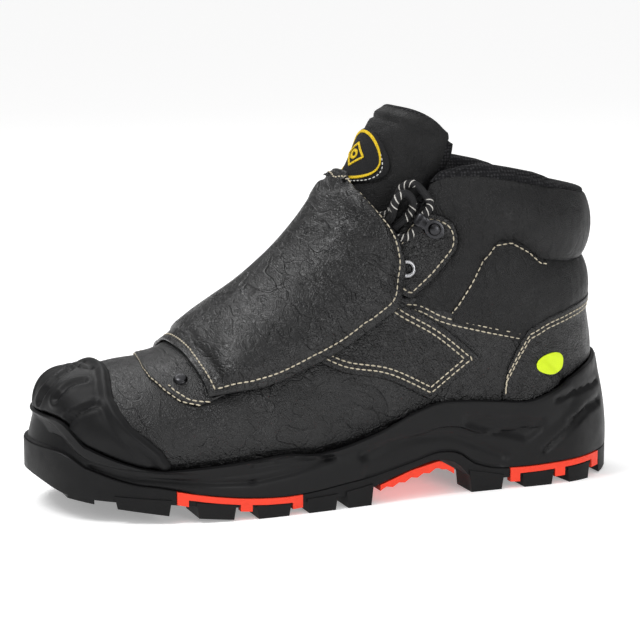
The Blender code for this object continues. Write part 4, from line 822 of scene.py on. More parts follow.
def inside_ring(point, ring):
    """Whether a flat point lies inside a closed ring of points."""
    found = False
    for a, b in zip(ring, ring[1:] + ring[:1]):
        if (a.y > point.y) != (b.y > point.y):
            if point.x < a.x + (point.y - a.y) / (b.y - a.y) * (b.x - a.x):
                found = not found
    return found


# Toe, heel and instep pieces on the upper

# The back edge of the toe bumper: section row at shares of the way down.
BUMPER_BACK = ((0.00, 3.56), (0.14, 3.50), (0.30, 3.33), (0.44, 3.24), (0.57, 3.34), (0.68, 3.56),
               (0.77, 4.00), (0.86, 4.25), (1.00, 4.42))

# The guard tab's front edge, down to where the guard's own edge takes over.
TAB_FRONT = {
    LATERAL: ((0.00, 4.46), (0.11, 4.36), (0.19, 4.38), (0.28, 4.56), (0.34, 4.76), (0.39, 5.12)),
    MEDIAL: ((0.00, 4.46), (0.11, 4.58), (0.19, 4.66), (0.28, 4.80), (0.34, 4.98), (0.39, 5.25)),
}
TAB_BACK = 5.85
TAB_RIVET = (-0.555, 0.394)

# Edges of the sewn-on pieces in side view, as shares of HALF_LENGTH and COLLAR_HEIGHT.
EYESTAY_EDGE = ((0.232, 0.856), (0.281, 0.862), (0.346, 0.831), (0.359, 0.781), (0.307, 0.700),
                (0.235, 0.637), (0.203, 0.612), (0.150, 0.650), (0.144, 0.720), (0.170, 0.785))
HOOK_AT = (0.290, 0.819)
EYELET_AT = (0.196, 0.700)

# Top edge of the heel counter by x, and the reflective strip above it.
COUNTER_TOP = ((0.516, 0.281), (0.531, 0.310), (0.536, 0.373), (0.577, 0.449), (0.612, 0.501),
               (0.681, 0.534), (0.766, 0.557), (0.920, 0.585))
STRIP_HEIGHTS = (0.580, 0.700)
STRIP_WIDTHS = (0.0120, 0.0040)

# The guard from its front edge to its top: ridge and side edge as shares of
# HALF_LENGTH and COLLAR_HEIGHT, half widths at the edge as shares of HALF_BALL
# where the edge has left the upper (0 where it lies on the upper).
GUARD_COLUMNS = ("ridge_x", "ridge_z", "edge_x", "edge_z", "width", "depth")
GUARD = (
    (-0.525, 0.478, -0.490, 0.352, 0.00, 0.50),
    (-0.495, 0.490, -0.440, 0.358, 0.00, 0.80),
    (-0.455, 0.535, -0.400, 0.364, 0.00, 1.00),
    (-0.412, 0.570, -0.340, 0.374, 0.00, 1.00),
    (-0.360, 0.606, -0.257, 0.395, 0.00, 1.00),
    (-0.291, 0.650, -0.145, 0.430, 0.00, 1.00),
    (-0.225, 0.700, -0.040, 0.476, 0.00, 1.00),
    (-0.155, 0.762, 0.060, 0.530, 0.00, 1.00),
    (-0.088, 0.833, 0.150, 0.587, 0.00, 1.00),
    (-0.040, 0.893, 0.176, 0.655, 0.00, 1.00),
    (-0.020, 0.915, 0.172, 0.740, 0.78, 0.90),
    (0.000, 0.937, 0.142, 0.835, 0.73, 0.90),
    (0.022, 0.966, 0.090, 0.915, 0.51, 0.75),
    (0.040, 0.992, 0.050, 0.975, 0.24, 0.65),
)
GUARD_LIFT = 0.0034
GUARD_SIDE_LIFT = 0.0038
GUARD_WRAP = 0.80

# The tongue from inside the vamp to its top: centre of its front as shares of
# HALF_LENGTH and TONGUE_HEIGHT, half width and depth as shares of HALF_BALL,
# and padding as a share of TONGUE_PADDING.
TONGUE = (
    (-0.405, 0.412, 0.170, 0.03, 0.30),
    (-0.300, 0.437, 0.190, 0.05, 0.35),
    (-0.210, 0.465, 0.210, 0.08, 0.45),
    (-0.143, 0.510, 0.235, 0.14, 0.60),
    (-0.092, 0.560, 0.275, 0.22, 0.75),
    (-0.039, 0.617, 0.320, 0.33, 0.90),
    (0.003, 0.675, 0.365, 0.44, 1.00),
    (0.035, 0.738, 0.405, 0.54, 1.00),
    (0.063, 0.800, 0.435, 0.60, 1.00),
    (0.088, 0.838, 0.455, 0.62, 1.00),
    (0.114, 0.883, 0.480, 0.63, 1.00),
    (0.146, 0.929, 0.500, 0.62, 1.00),
    (0.176, 0.966, 0.500, 0.59, 0.95),
    (0.206, 0.989, 0.470, 0.55, 0.80),
)
TONGUE_CENTRE = 0.03
LABEL_HEIGHT_SHARE = 0.868
LABEL_WIDTH = 0.031
LABEL_LENGTH = 0.025


def filled_patch(rows, lift, thickness, rim_steps=1):
    """A closed piece over a grid of points on a surface, row by row."""
    points = [p for row in rows for p in row]
    return sheet(points, grid_faces(len(rows), len(rows[0])), thickness, lift, rim_steps)


def facing_out(rows, centre):
    """Reverses each row if the grid's faces look towards the centre."""
    a, b, c = rows[1][1], rows[1][2], rows[2][1]
    if (b - a).cross(c - a).dot(a - centre) < 0:
        return [list(reversed(row)) for row in rows]
    return rows


INNER_AXIS = Vector((0.0, 0.0, 0.06))


def side_to_side(point_at, shares):
    """A row from the lateral base over the front to the medial base."""
    there = [point_at(s, LATERAL) for s in reversed(shares)]
    return there + [point_at(s, MEDIAL) for s in shares[1:]]


def share_at_rim(row, side):
    """How far down a section its skin comes to the midsole's rim."""
    low, high = 0.0, 1.0
    for _ in range(14):
        middle = (low + high) / 2
        p = skin(row, middle, side)
        if p.z > rim_over(p, side) + RIM_CLEARANCE:
            low = middle
        else:
            high = middle
    return (low + high) / 2


def push_out(point, trees):
    """Moves a point out along the nearest normal until it clears each (tree, distance)."""
    for _ in range(3):
        for tree, distance in trees:
            near, normal, _, _ = tree.find_nearest(point)
            deep = (point - near).dot(normal)
            beside = (point - near - normal * deep).length
            if deep < distance and beside < 0.0015:
                point = point + normal * (distance - deep)
    return point


def guard_points(tree):
    """The guard's outer face, row by row."""
    rows = []
    across_steps = 26
    for k in range(len(GUARD)):
        c = dict(zip(GUARD_COLUMNS, GUARD[k]))
        lift = GUARD_LIFT if k < 5 else GUARD_SIDE_LIFT
        depth = GUARD_THICKNESS * c["depth"]
        edge_x, edge_z = c["edge_x"] * HALF_LENGTH, c["edge_z"] * COLLAR_HEIGHT
        ridge = Vector((c["ridge_x"] * HALF_LENGTH, 0.0026, c["ridge_z"] * COLLAR_HEIGHT))
        row = []
        for side in (LATERAL, MEDIAL):
            if c["width"] == 0:
                on, normal = side_point(tree, edge_x, edge_z, side)
                edge = on + normal * (lift + depth)
            else:
                edge = Vector((edge_x, ridge.y + side * c["width"] * HALF_BALL, edge_z))
            half = []
            for i in range(across_steps + 1):
                angle = RIGHT_ANGLE * i / across_steps
                out, down = math.sin(angle) ** GUARD_WRAP, 1 - math.cos(angle)
                p = ridge + (edge - ridge) * down
                p.y = ridge.y + (edge.y - ridge.y) * out
                half.append(push_out(p, [(tree, lift + depth)]))
            row.append(half)
        rows.append(list(reversed(row[0])) + row[1][1:])
    return rows


def tongue_frame(position):
    """The tongue at a row position: centre, way up, way back, half width, depth and padding."""
    c = read_row(TONGUE, position)
    after = read_row(TONGUE, min(position + 1.5, len(TONGUE) - 1))
    before = read_row(TONGUE, max(position - 1.5, 0))
    centre = Vector((c[0] * HALF_LENGTH, TONGUE_CENTRE * HALF_BALL, c[1] * TONGUE_HEIGHT))
    forward, rise = (after[0] - before[0]) * HALF_LENGTH, (after[1] - before[1]) * TONGUE_HEIGHT
    up = Vector((forward, 0, rise)).normalized()
    back = Vector((up.z, 0, -up.x))
    return centre, up, back, c[2] * HALF_BALL, c[3] * HALF_BALL, c[4] * TONGUE_PADDING


def tongue_rows(step=1.0, across_steps=10):
    rows, depth = [], []
    for k in range(int(round((len(TONGUE) - 1) / step)) + 1):
        centre, _, back, half, deep, padding = tongue_frame(k * step)
        row = []
        for i in range(across_steps + 1):
            angle = RIGHT_ANGLE * (2 * i / across_steps - 1)
            row.append(centre + Vector((0, half * math.sin(angle), 0)) + back * deep * (1 - math.cos(angle)))
            depth.append(padding)
        rows.append(row)
    return rows, depth


def tongue_tree():
    rows, _ = tongue_rows()
    points = [p for row in rows for p in row]
    faces = grid_faces(len(rows), len(rows[0]))
    if vertex_normals(points, faces)[len(rows[0]) + len(rows[0]) // 2].x > 0:
        faces = [list(reversed(face)) for face in faces]
    return BVHTree.FromPolygons(points, faces)


def side_name(side):
    return "lateral" if side == LATERAL else "medial"


def on_side(tree, at, side, lift):
    """Point, outward normal, forward and cross directions at a place on the upper's side."""
    point, normal = side_point(tree, at[0] * HALF_LENGTH, at[1] * COLLAR_HEIGHT, side)
    normal = normal.normalized()
    forward = Vector((-1, 0, 0))
    forward = (forward - normal * forward.dot(normal)).normalized()
    return point + normal * lift, normal, forward, normal.cross(forward).normalized()


def turned(profile, centre, axis, across_dir, sides):
    """A body turned round an axis from (radius, height) pairs, closed at both ends where the radius is 0."""
    other = axis.cross(across_dir)
    points, faces = [], []
    for r, h in profile:
        for j in range(sides):
            angle = 2 * math.pi * j / sides
            points.append(centre + axis * h + (across_dir * math.cos(angle) + other * math.sin(angle)) * r)
    faces = grid_faces(len(profile), sides, closed=True)
    return points, faces


HOOK_WIDTH = 0.0062
HOOK_THICKNESS = 0.0010
HOOK_ARM = 0.0085
HOOK_TILT = math.radians(33)
HOOK_MOUTH = LACE_DIAMETER + 4 * GAP
HOOK_LIFT = OVERLAY_GAP + OVERLAY + CURVED_GAP + GAP


def hook_frame(tree, side):
    """Place, normal, arm direction and upward cross direction of a hook."""
    centre, normal, forward, cross = on_side(tree, HOOK_AT, side, HOOK_LIFT)
    up = cross if cross.z > 0 else -cross
    arm = forward * math.cos(HOOK_TILT) + up * math.sin(HOOK_TILT)
    return centre, normal, arm, up * math.cos(HOOK_TILT) - forward * math.sin(HOOK_TILT)


# Lines and strips on the upper

BUILT = {}
COVER = 0.0012
PANEL_LIFT = 0.0001
VAMP_SEAM = ((0.00, 7.6), (0.30, 8.3), (0.55, 9.15), (0.72, 9.35), (0.86, 9.25), (1.00, 9.0))


def outer_skin():
    """The upper's outside, finely sampled, and a tree of it."""
    if "skin" not in BUILT:
        rows = [k / 4 for k in range(4 * 12)] + [12 + k / 8 for k in range(8 * (TOPLINE - 12) + 1)]
        shares = [math.sin(RIGHT_ANGLE * k / 30) ** 1.1 for k in range(31)]
        points, faces = welded(*upper_grid(rows, shares))
        BUILT["skin"] = (points, faces, BVHTree.FromPolygons(points, faces))
    return BUILT["skin"]


def eased(count):
    """Shares from 0 to 1, close together at both ends."""
    return [0.5 - 0.5 * math.cos(math.pi * k / count) for k in range(count + 1)]


def flowing(corners, step=0.0015, closed=True, sharp=48.0):
    """A dense smooth line through flat corners; a corner that turns more than sharp degrees stays one."""
    corners = [Vector(c) for c in corners]
    count = len(corners)
    heading = []
    for i, p in enumerate(corners):
        a, b = p - corners[i - 1], corners[(i + 1) % count] - p
        if not closed and i == 0:
            a = b
        if not closed and i == count - 1:
            b = a
        bent = math.degrees(a.angle(b)) > sharp
        mean = (a.normalized() * b.length + b.normalized() * a.length).normalized()
        heading.append(None if bent else mean)
    line = []
    for i in range(count if closed else count - 1):
        j = (i + 1) % count
        p, q = corners[i], corners[j]
        span = q - p
        m0 = (heading[i] or span.normalized()) * span.length
        m1 = (heading[j] or span.normalized()) * span.length
        pieces = max(1, round(span.length / step))
        for k in range(pieces):
            t = k / pieces
            line.append(p * (2 * t ** 3 - 3 * t * t + 1) + m0 * (t ** 3 - 2 * t * t + t)
                        + q * (3 * t * t - 2 * t ** 3) + m1 * (t ** 3 - t * t))
    if not closed:
        line.append(corners[-1])
    return line


def flat(shares):
    """Side-view shares as metres."""
    return [Vector((x * HALF_LENGTH, z * COLLAR_HEIGHT)) for x, z in shares]


def moved_in(ring, distance):
    """A closed flat line moved towards its inside."""
    area = sum(a.x * b.y - b.x * a.y for a, b in zip(ring, ring[1:] + ring[:1]))
    turn = 1.0 if area > 0 else -1.0
    made = []
    for i, p in enumerate(ring):
        ahead, behind = ring[(i + 2) % len(ring)], ring[i - 2]
        along = (ahead - behind).normalized()
        made.append(p + Vector((-along.y, along.x)) * turn * distance)
    return [p for p in made if min((p - q).length for q in ring) > 0.93 * distance]


def sewn_patch(tree, ring, side, lift, thickness, spacing=0.0026):
    """A thin rounded piece lying on a surface, its dense outline given in side view in metres."""
    low = [min(p[k] for p in ring) for k in (0, 1)]
    high = [max(p[k] for p in ring) for k in (0, 1)]
    inner = []
    for i in range(1, int((high[0] - low[0]) / spacing) + 1):
        for j in range(1, int((high[1] - low[1]) / spacing) + 1):
            p = Vector((low[0] + i * spacing, low[1] + j * spacing))
            if inside_ring(p, ring) and min((p - q).length for q in ring) > 0.5 * spacing:
                inner.append(p)
    points = list(ring) + inner
    edges = [[i, (i + 1) % len(ring)] for i in range(len(ring))]
    verts, _, faces, *_ = delaunay_2d_cdt(points, edges, [], 1, 1e-7)
    spots = [side_point(tree, v.x, v.y, side)[0] for v in verts]
    faces = [list(f) for f in faces]
    if vertex_normals(spots, faces)[0].y * side < 0:
        faces = [list(reversed(f)) for f in faces]
    return sheet(spots, faces, thickness, lift, rim_steps=4)


def rim_share(row, side):
    """How far down a section the midsole's rim comes, from a table made once."""
    if ("rim", side) not in BUILT:
        rows = [k / 3 for k in range(3 * 13 + 1)]
        BUILT[("rim", side)] = (rows, [share_at_rim(r, side) for r in rows])
    return float(np.interp(row, *BUILT[("rim", side)]))


def sheet_by_place(points, faces, depth, lift, rim_steps=4):
    """A sheet whose thickness follows a list, also where points coincide."""
    keys = {}
    for p, d in zip(points, depth):
        keys[tuple(int(round(v / 2e-6)) for v in p)] = d
    whole, kept = welded(points, faces)
    thick = [keys.get(tuple(int(round(v / 2e-6)) for v in p), depth[0]) for p in whole]
    return sheet(whole, kept, thick, lift, rim_steps)


def make_shell():
    """The hollow upper: leather outside, lining inside and over the rim."""
    points, faces, _ = outer_skin()
    normals = vertex_normals(points, faces)
    depth = [wall_depth(p) - 0.0003 for p in points]
    inside = [p - n * (d + 0.0003) for p, n, d in zip(points, normals, depth)]
    made, walls = sheet(inside, faces, depth, rim_steps=6)
    count = len(points)
    for i, (p, n) in enumerate(zip(points, normals)):
        made[i] = p - n * 0.0003
    total = len(faces)
    kinds = [0] * total + [1] * (len(walls) - total)
    top = 0.93 * COLLAR_HEIGHT
    for i in range(total):
        if all(made[v].z > top and made[v].x > 0.46 * HALF_LENGTH for v in walls[i]) and i > total * 0.8:
            kinds[i] = 0
    return piece("upper_shell", made, walls, ["smooth_leather", "lining"], ["upper"], kinds=kinds)


SHAFT_X = 0.62 * HALF_LENGTH


def top_table(side):
    """The topline's height by x on one side, from a table made once."""
    if ("top", side) not in BUILT:
        spots = [skin(TOPLINE, k / 60, side) for k in range(61)]
        BUILT[("top", side)] = ([p.x for p in spots], [p.z for p in spots])
    return BUILT[("top", side)]


def top_at(p):
    return float(np.interp(p.x, *top_table(LATERAL if p.y < 0 else MEDIAL)))


def shaft_point(tree, angle, height_at, guess=0.12):
    """The point of the shaft at an angle whose height follows a side-view line."""
    away = Vector((math.cos(angle), math.sin(angle), 0))
    z, found = guess, None
    for _ in range(14):
        found = hit(tree, (SHAFT_X, 0, z), away)[0] or found
        z = 0.5 * z + 0.5 * height_at(found)
    return found


def shaft_band(name, angles, low_at, high_at, thickness, looks):
    """A padded strip round the shaft between two side-view lines."""
    tree = outer_skin()[2]
    levels = eased(16)
    columns, depth = [], []
    for angle in angles:
        away = Vector((math.cos(angle), math.sin(angle), 0))
        low = shaft_point(tree, angle, low_at).z
        high = max(shaft_point(tree, angle, high_at).z, low + 0.0002)
        column = [hit(tree, (SHAFT_X, 0, low + (high - low) * v), away)[0] for v in levels]
        for k, p in enumerate(column):
            if p is None:
                column[k] = column[k - 1].copy()
        columns.append(column)
    rows = [[column[k] for column in columns] for k in range(len(levels))]
    rows = facing_out(rows, Vector((SHAFT_X, 0, 0.12)))
    points = [p for row in rows for p in row]
    for k, v in enumerate(levels):
        depth += [thickness(v, p) for p in rows[k]]
    faces = grid_faces(len(rows), len(rows[0]))
    made = piece(name, *sheet_by_place(points, faces, depth, PANEL_LIFT), looks)
    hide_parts("upper")
    return made


def make_collar():
    """The padded collar above the ankle seam, the pad below it and the lining rolled over the rim."""
    limit = math.radians(151)
    angles = [-limit + 2 * limit * k / 220 for k in range(221)]
    stay = flowing(flat(EYESTAY_EDGE), 0.0018, sharp=60)

    def crown(v, p):
        full = COVER + 0.0009 * math.sin(math.pi * v) ** 0.5
        spot = Vector((p.x, p.z))
        away = min((spot - q).length for q in stay)
        if inside_ring(spot, stay):
            return 0.0004
        return 0.0004 + (full - 0.0004) * smooth_step(away, 0.0, 0.004)

    seam_at = lambda p: line_height(PAD_SEAM, p.x)
    collar = shaft_band("collar", angles, lambda p: seam_at(p) + 0.0004, lambda p: top_at(p) - 0.0022, crown,
                        ["soft_cover"])
    tree = outer_skin()[2]
    kept = []
    for angle in angles:
        p = shaft_point(tree, angle, seam_at)
        if seam_at(p) - line_height(QUARTER_TOP, p.x) > 0.001:
            kept.append(angle)
    pad = shaft_band("ankle_pad", kept, lambda p: line_height(QUARTER_TOP, p.x) - 0.004,
                     lambda p: seam_at(p) - 0.0004, crown, ["soft_cover"])
    BUILT["pad"] = tree_of(pad)
    make_roll()


ROLL = ((0.0000, -0.0030), (0.0010, -0.0020), (0.0014, -0.0008), (0.0010, 0.0004), (0.0000, 0.0012),
        (-0.0016, 0.0019), (-0.0038, 0.0020), (-0.0060, 0.0010), (-0.0078, -0.0008), (-0.0090, -0.0035),
        (-0.0096, -0.0080), (-0.0094, -0.0140), (-0.0080, -0.0150), (-0.0060, -0.0060), (-0.0030, -0.0030),
        (-0.0010, -0.0040))


def make_roll():
    """The knitted lining rolled over the collar's rim."""
    shares = [0.03 + 0.97 * k / 90 for k in range(91)]
    line = [skin(TOPLINE, s, LATERAL) for s in shares]
    line += [skin(TOPLINE, s, MEDIAL) for s in reversed(shares[:-1])]
    count, sides = len(line), len(ROLL)
    points = []
    for i, p in enumerate(line):
        along = line[min(i + 2, count - 1)] - line[max(i - 2, 0)]
        away = Vector((along.y, -along.x, 0)).normalized()
        if away.dot(Vector((p.x - SHAFT_X, p.y, 0))) < 0:
            away = -away
        taper = smooth_step(min(i, count - 1 - i) / 6.0, -0.3, 1.0)
        for r, h in ROLL:
            swell = 1.0 + 0.10 * math.sin(i * 0.9) * math.sin(i * 0.37)
            points.append(p + away * (r * taper * swell) + Vector((0, 0, h * taper)))
    faces = []
    for i in range(count - 1):
        this, after = i * sides, (i + 1) * sides
        faces += [[this + a, this + (a + 1) % sides, after + (a + 1) % sides, after + a]
                  for a in range(sides)]
    faces += [list(reversed(range(sides))), [len(points) - sides + k for k in range(sides)]]
    made = piece("collar_lining", points, faces, ["lining"], sharp=80)
    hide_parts("upper")


def rows_between(front, back, steps, shares, low_share):
    """Grid of skin points between two section-row curves, from lateral base over the front to medial."""
    rows = []
    for u in eased(steps):
        def point_at(v, side, u=u):
            first, last = front(v, side), back(v, side)
            row = first + (last - first) * u
            return skin(row, v * low_share(row, side), side)
        rows.append(side_to_side(point_at, shares))
    return rows


def make_vamp():
    """The leather over the forefoot, from under the toe bumper to the side seam."""
    shares = [k / 56 for k in range(57)]
    front = lambda v, side: float(np.interp(v, *zip(*BUMPER_BACK))) - 0.5
    back = lambda v, side: float(np.interp(v, *zip(*VAMP_SEAM)))
    rows = facing_out(rows_between(front, back, 64, shares, rim_share), INNER_AXIS)
    made = filled_patch(rows, PANEL_LIFT, 0.0008, rim_steps=3)
    vamp = piece("vamp", *made, ["smooth_leather"])
    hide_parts("upper")


def quarter_ring():
    """Side view of the leather quarter, from the vamp seam back to the heel counter."""
    vamp = [(0.108, 0.245), (0.113, 0.274), (0.094, 0.328), (0.055, 0.362), (0.006, 0.369), (-0.04, 0.44)]
    top = [(0.02, 0.60), *QUARTER_EDGE, (0.66, 0.515)]
    bottom = [(0.66, 0.262), (0.50, 0.250), (0.35, 0.262), (0.22, 0.262)]
    return flowing(flat(vamp + top + bottom), 0.0022)


def make_quarters(tree):
    for side in (LATERAL, MEDIAL):
        made = sewn_patch(tree, quarter_ring(), side, PANEL_LIFT, 0.0013, 0.0032)
        quarter = piece(f"quarter_{side_name(side)}", *made, ["smooth_leather"])
        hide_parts("upper")


def make_counter(tree):
    start = math.radians(112)
    angles = [-start + 2 * start * i / 120 for i in range(121)]
    low = lambda p: rim_cached(p) + 0.0004
    high = lambda p: max(line_height(COUNTER_TOP, p.x), low(p) + 0.004)
    rows = radial_rows(tree, angles, low, high, eased(18))
    made = filled_patch(facing_out(rows, Vector((0.62 * HALF_LENGTH, 0, 0.06))), 0.0006, 0.0021, rim_steps=4)
    made = piece("counter", *made, ["strap_leather"], ["heel_counter"])
    BUILT["counter"] = tree_of(made)
    BUILT["counter_rows"] = (angles, low, high)


def rim_cached(point):
    """Height of the midsole's rim beside a point of the heel, from a table made once."""
    side = LATERAL if point.y < 0 else MEDIAL
    key = ("rim_angle", side)
    axis_x = 0.62 * HALF_LENGTH
    if key not in BUILT:
        table = []
        for k in range(61):
            angle = math.pi * k / 60
            spot = Vector((axis_x + math.cos(angle) * 0.042, side * math.sin(angle) * 0.036, 0))
            table.append((angle, rim_over(spot, side)))
        BUILT[key] = list(zip(*table))
    angle = abs(math.atan2(abs(point.y), point.x - axis_x))
    return float(np.interp(angle, *BUILT[key]))


def radial_rows(tree, angles, low_at, high_at, levels):
    """Rows of points round the heel, on rays from an upright axis in the shaft."""
    axis_x = 0.62 * HALF_LENGTH
    rows = []
    for level in levels:
        row = []
        for angle in angles:
            away = Vector((math.cos(angle), math.sin(angle), 0))
            p = Vector((axis_x + away.x * 0.04, away.y * 0.04, 0))
            for _ in range(3):
                low, high = low_at(p), high_at(p)
                p, _ = hit(tree, (axis_x, 0, low + (high - low) * level), away)
            row.append(p)
        rows.append(row)
    return rows


STRAP_SHAPE = ((-0.170, 0.470), (-0.052, 0.413), (0.098, 0.381), (0.261, 0.306), (0.431, 0.419),
               (0.294, 0.525), (0.163, 0.600), (0.110, 0.640), (-0.040, 0.560))


def make_straps(tree):
    strap, stay = flowing(flat(STRAP_SHAPE), 0.0018, sharp=40), flowing(flat(EYESTAY_EDGE), 0.0018, sharp=60)
    for side in (LATERAL, MEDIAL):
        name = side_name(side)
        made = piece(f"strap_{name}", *sewn_patch(tree, strap, side, 0.0012, 0.0017), ["strap_leather"],
                     [f"side_strap_{name}"])
        BUILT[("strap", side)] = tree_of(made)
        made = piece(f"stay_{name}", *sewn_patch(tree, stay, side, 0.0008, 0.0016), ["strap_leather"],
                     [f"eyestay_{name}"])
        BUILT[("stay", side)] = tree_of(made)
    BUILT["strap_ring"], BUILT["stay_ring"] = strap, stay


def tab_rows(drop=0.0):
    """Skin points of the guard tab; drop moves its front edge back."""
    rows = []
    shares = [0.38 * i / 26 for i in range(27)]
    for u in eased(18):
        def point_at(s, side, u=u):
            front = float(np.interp(s, *zip(*TAB_FRONT[side]))) + drop
            return skin(front + (TAB_BACK - front) * u, s, side)
        rows.append(side_to_side(point_at, shares))
    return facing_out(rows, INNER_AXIS)


def make_tab():
    made = filled_patch(tab_rows(), 0.0009, STRAP_THICKNESS, rim_steps=4)
    made = piece("tab", *made, ["smooth_leather"], ["guard_tab"])
    BUILT["tab"] = tree_of(made)


# The guard

FLANGE_SIDE = 0.0052
FLANGE_FRONT = 0.0075
FLANGE_TOP = 0.0120
FLANGE_DROP = 0.0016


def guard_grid(tree):
    """Fine rows of the guard's outer face, splined through its control rows."""
    control = guard_points(tree)
    table = [[c for p in row for c in p] for row in control]
    fine = []
    steps = 96
    for k in range(steps + 1):
        position = (len(table) - 1) * k / steps
        values = read_row(table, position)
        fine.append([Vector(values[3 * i:3 * i + 3]) for i in range(len(control[0]))])
    return fine, [(len(table) - 1) * k / steps for k in range(steps + 1)]


def spans(rows):
    """Distances from each grid point to the front, the top and the nearer side edge."""
    count, width = len(rows), len(rows[0])
    front = [[0.0] * width for _ in rows]
    for r in range(1, count):
        for c in range(width):
            front[r][c] = front[r - 1][c] + (rows[r][c] - rows[r - 1][c]).length
    side = []
    for row in rows:
        run = [0.0]
        for a, b in zip(row, row[1:]):
            run.append(run[-1] + (b - a).length)
        side.append([min(v, run[-1] - v) for v in run])
    top = [[front[-1][c] - front[r][c] for c in range(width)] for r in range(count)]
    return front, top, side


def make_guard(tree):
    rows, positions = guard_grid(tree)
    rows = facing_out(rows, INNER_AXIS)
    front, top, side = spans(rows)
    points = [p for row in rows for p in row]
    faces = grid_faces(len(rows), len(rows[0]))
    normals = vertex_normals(points, faces)
    width = len(rows[0])
    depth, outer = [], []
    share = [row[-1] for row in GUARD]
    for i, (p, n) in enumerate(zip(points, normals)):
        r, c = divmod(i, width)
        full = float(np.interp(positions[r], range(len(share)), share)) * GUARD_THICKNESS
        plateau = min(smooth_step(side[r][c], FLANGE_SIDE, FLANGE_SIDE + 0.004),
                      smooth_step(front[r][c], FLANGE_FRONT, FLANGE_FRONT + 0.004),
                      smooth_step(top[r][c], FLANGE_TOP, FLANGE_TOP + 0.004))
        slump = guard_creases(p)
        drop = min(FLANGE_DROP * (1 - plateau), full - 0.0014)
        outer.append(p - n * (drop + slump))
        depth.append(full - drop)
    inside = [p - n * (d + 0.0002) for p, n, d in zip(outer, normals, depth)]
    made, walls = sheet(inside, faces, depth, rim_steps=5)
    for i, p in enumerate(outer):
        made[i] = p
    made = piece("instep_guard", made, walls, ["guard_leather"], ["met_guard"], sharp=60)
    BUILT["guard"] = tree_of(made)
    BUILT["guard_rows"] = (rows, front, top, side)


CREASES = (
    ((-0.0300, -0.0330, 0.0930), (-0.0160, -0.0370, 0.0960), (-0.0020, -0.0400, 0.0960),
     (0.0090, -0.0420, 0.0930)),
    ((-0.0240, -0.0250, 0.1080), (-0.0100, -0.0310, 0.1130), (0.0040, -0.0360, 0.1130),
     (0.0150, -0.0390, 0.1090)),
    ((-0.0440, -0.0330, 0.0800), (-0.0330, -0.0400, 0.0790), (-0.0200, -0.0450, 0.0800)),
    ((-0.0060, -0.0180, 0.1280), (0.0050, -0.0270, 0.1300), (0.0150, -0.0330, 0.1270)),
    ((-0.0560, -0.0240, 0.0830), (-0.0470, -0.0340, 0.0740), (-0.0420, -0.0430, 0.0670)),
)


def segment_distance(p, a, b):
    along = b - a
    t = min(max((p - a).dot(along) / max(along.length_squared, 1e-12), 0.0), 1.0)
    return (p - a - along * t).length


def line_distance(p, line):
    return min(segment_distance(p, a, b) for a, b in zip(line, line[1:]))


def guard_creases(p):
    """Depth of the folds that walking leaves in the guard's flank."""
    deep = 0.0
    for crease in CREASES:
        line = [Vector(c) for c in crease]
        mirrored = [Vector((c[0], 0.0052 - c[1], c[2])) for c in crease]
        for path in (line, mirrored):
            if abs(p.x - path[1].x) < 0.03:
                away = line_distance(p, path)
                fold = 0.0009 * math.exp(-(away / 0.0016) ** 2)
                beside = 0.0004 * math.exp(-((away - 0.004) / 0.002) ** 2)
                deep += fold - beside
    return deep


# The toe bumper

TOE_GROOVES = (
    ((-0.1455, -0.0010, 0.0530), (-0.1422, -0.0042, 0.0603), (-0.1397, -0.0038, 0.0630),
     (-0.1366, -0.0031, 0.0650), (-0.1299, 0.0019, 0.0671), (-0.1217, 0.0132, 0.0679)),
    ((-0.1408, -0.0139, 0.0563), (-0.1384, -0.0144, 0.0596), (-0.1354, -0.0140, 0.0622),
     (-0.1316, -0.0144, 0.0639), (-0.1274, -0.0151, 0.0647)),
    ((-0.1395, -0.0235, 0.0450), (-0.1366, -0.0260, 0.0488), (-0.1342, -0.0281, 0.0514),
     (-0.1307, -0.0294, 0.0538), (-0.1267, -0.0309, 0.0557)),
)


def make_bumper():
    shares = [i / 48 for i in range(49)]
    steps = 64
    rows, along = [], []
    for k in range(steps + 1):
        def point_at(v, side, u=max(k / steps, 0.004)):
            back = float(np.interp(v, *zip(*BUMPER_BACK)))
            row = u * back
            return skin(row, v * rim_share(row, side), side)
        rows.append(side_to_side(point_at, shares))
        along += [k / steps] * len(rows[-1])
    turned_rows = facing_out(rows, Vector((-0.10, 0.0, 0.03)))
    points = [p for row in turned_rows for p in row]
    back_line = turned_rows[-1]
    faces = grid_faces(len(rows), len(rows[0]))
    depth = []
    for p, normal in zip(points, vertex_normals(points, faces)):
        thick = BUMPER_THICKNESS
        edge = line_distance(p, back_line)
        outside = p + normal * BUMPER_THICKNESS
        lip = 0.0009 * math.exp(-((edge - 0.0022) / 0.0016) ** 2)
        hollow = 0.0007 * math.exp(-((edge - 0.0062) / 0.0014) ** 2)
        thick += lip - hollow
        thick -= 0.0012 * (1 - smooth_step(edge, 0.0, 0.0016))
        if p.x < -0.118:
            for groove in TOE_GROOVES:
                for flip in (1, -1):
                    line = [Vector((x, (y - 0.0055) * flip + 0.0055, z)) for x, y, z in groove]
                    away = line_distance(outside, line)
                    thick -= 0.0019 * math.exp(-(away / 0.0016) ** 2)
                    thick += 0.0006 * math.exp(-((away - 0.0036) / 0.0013) ** 2)
        depth.append(min(max(thick, 0.0008), BUMPER_THICKNESS + 0.0009))
    made = sheet_by_place(points, faces, depth, 0.0007)
    piece("bumper", *made, ["toe_rubber"], ["toe_bumper"])


# The tongue and its label


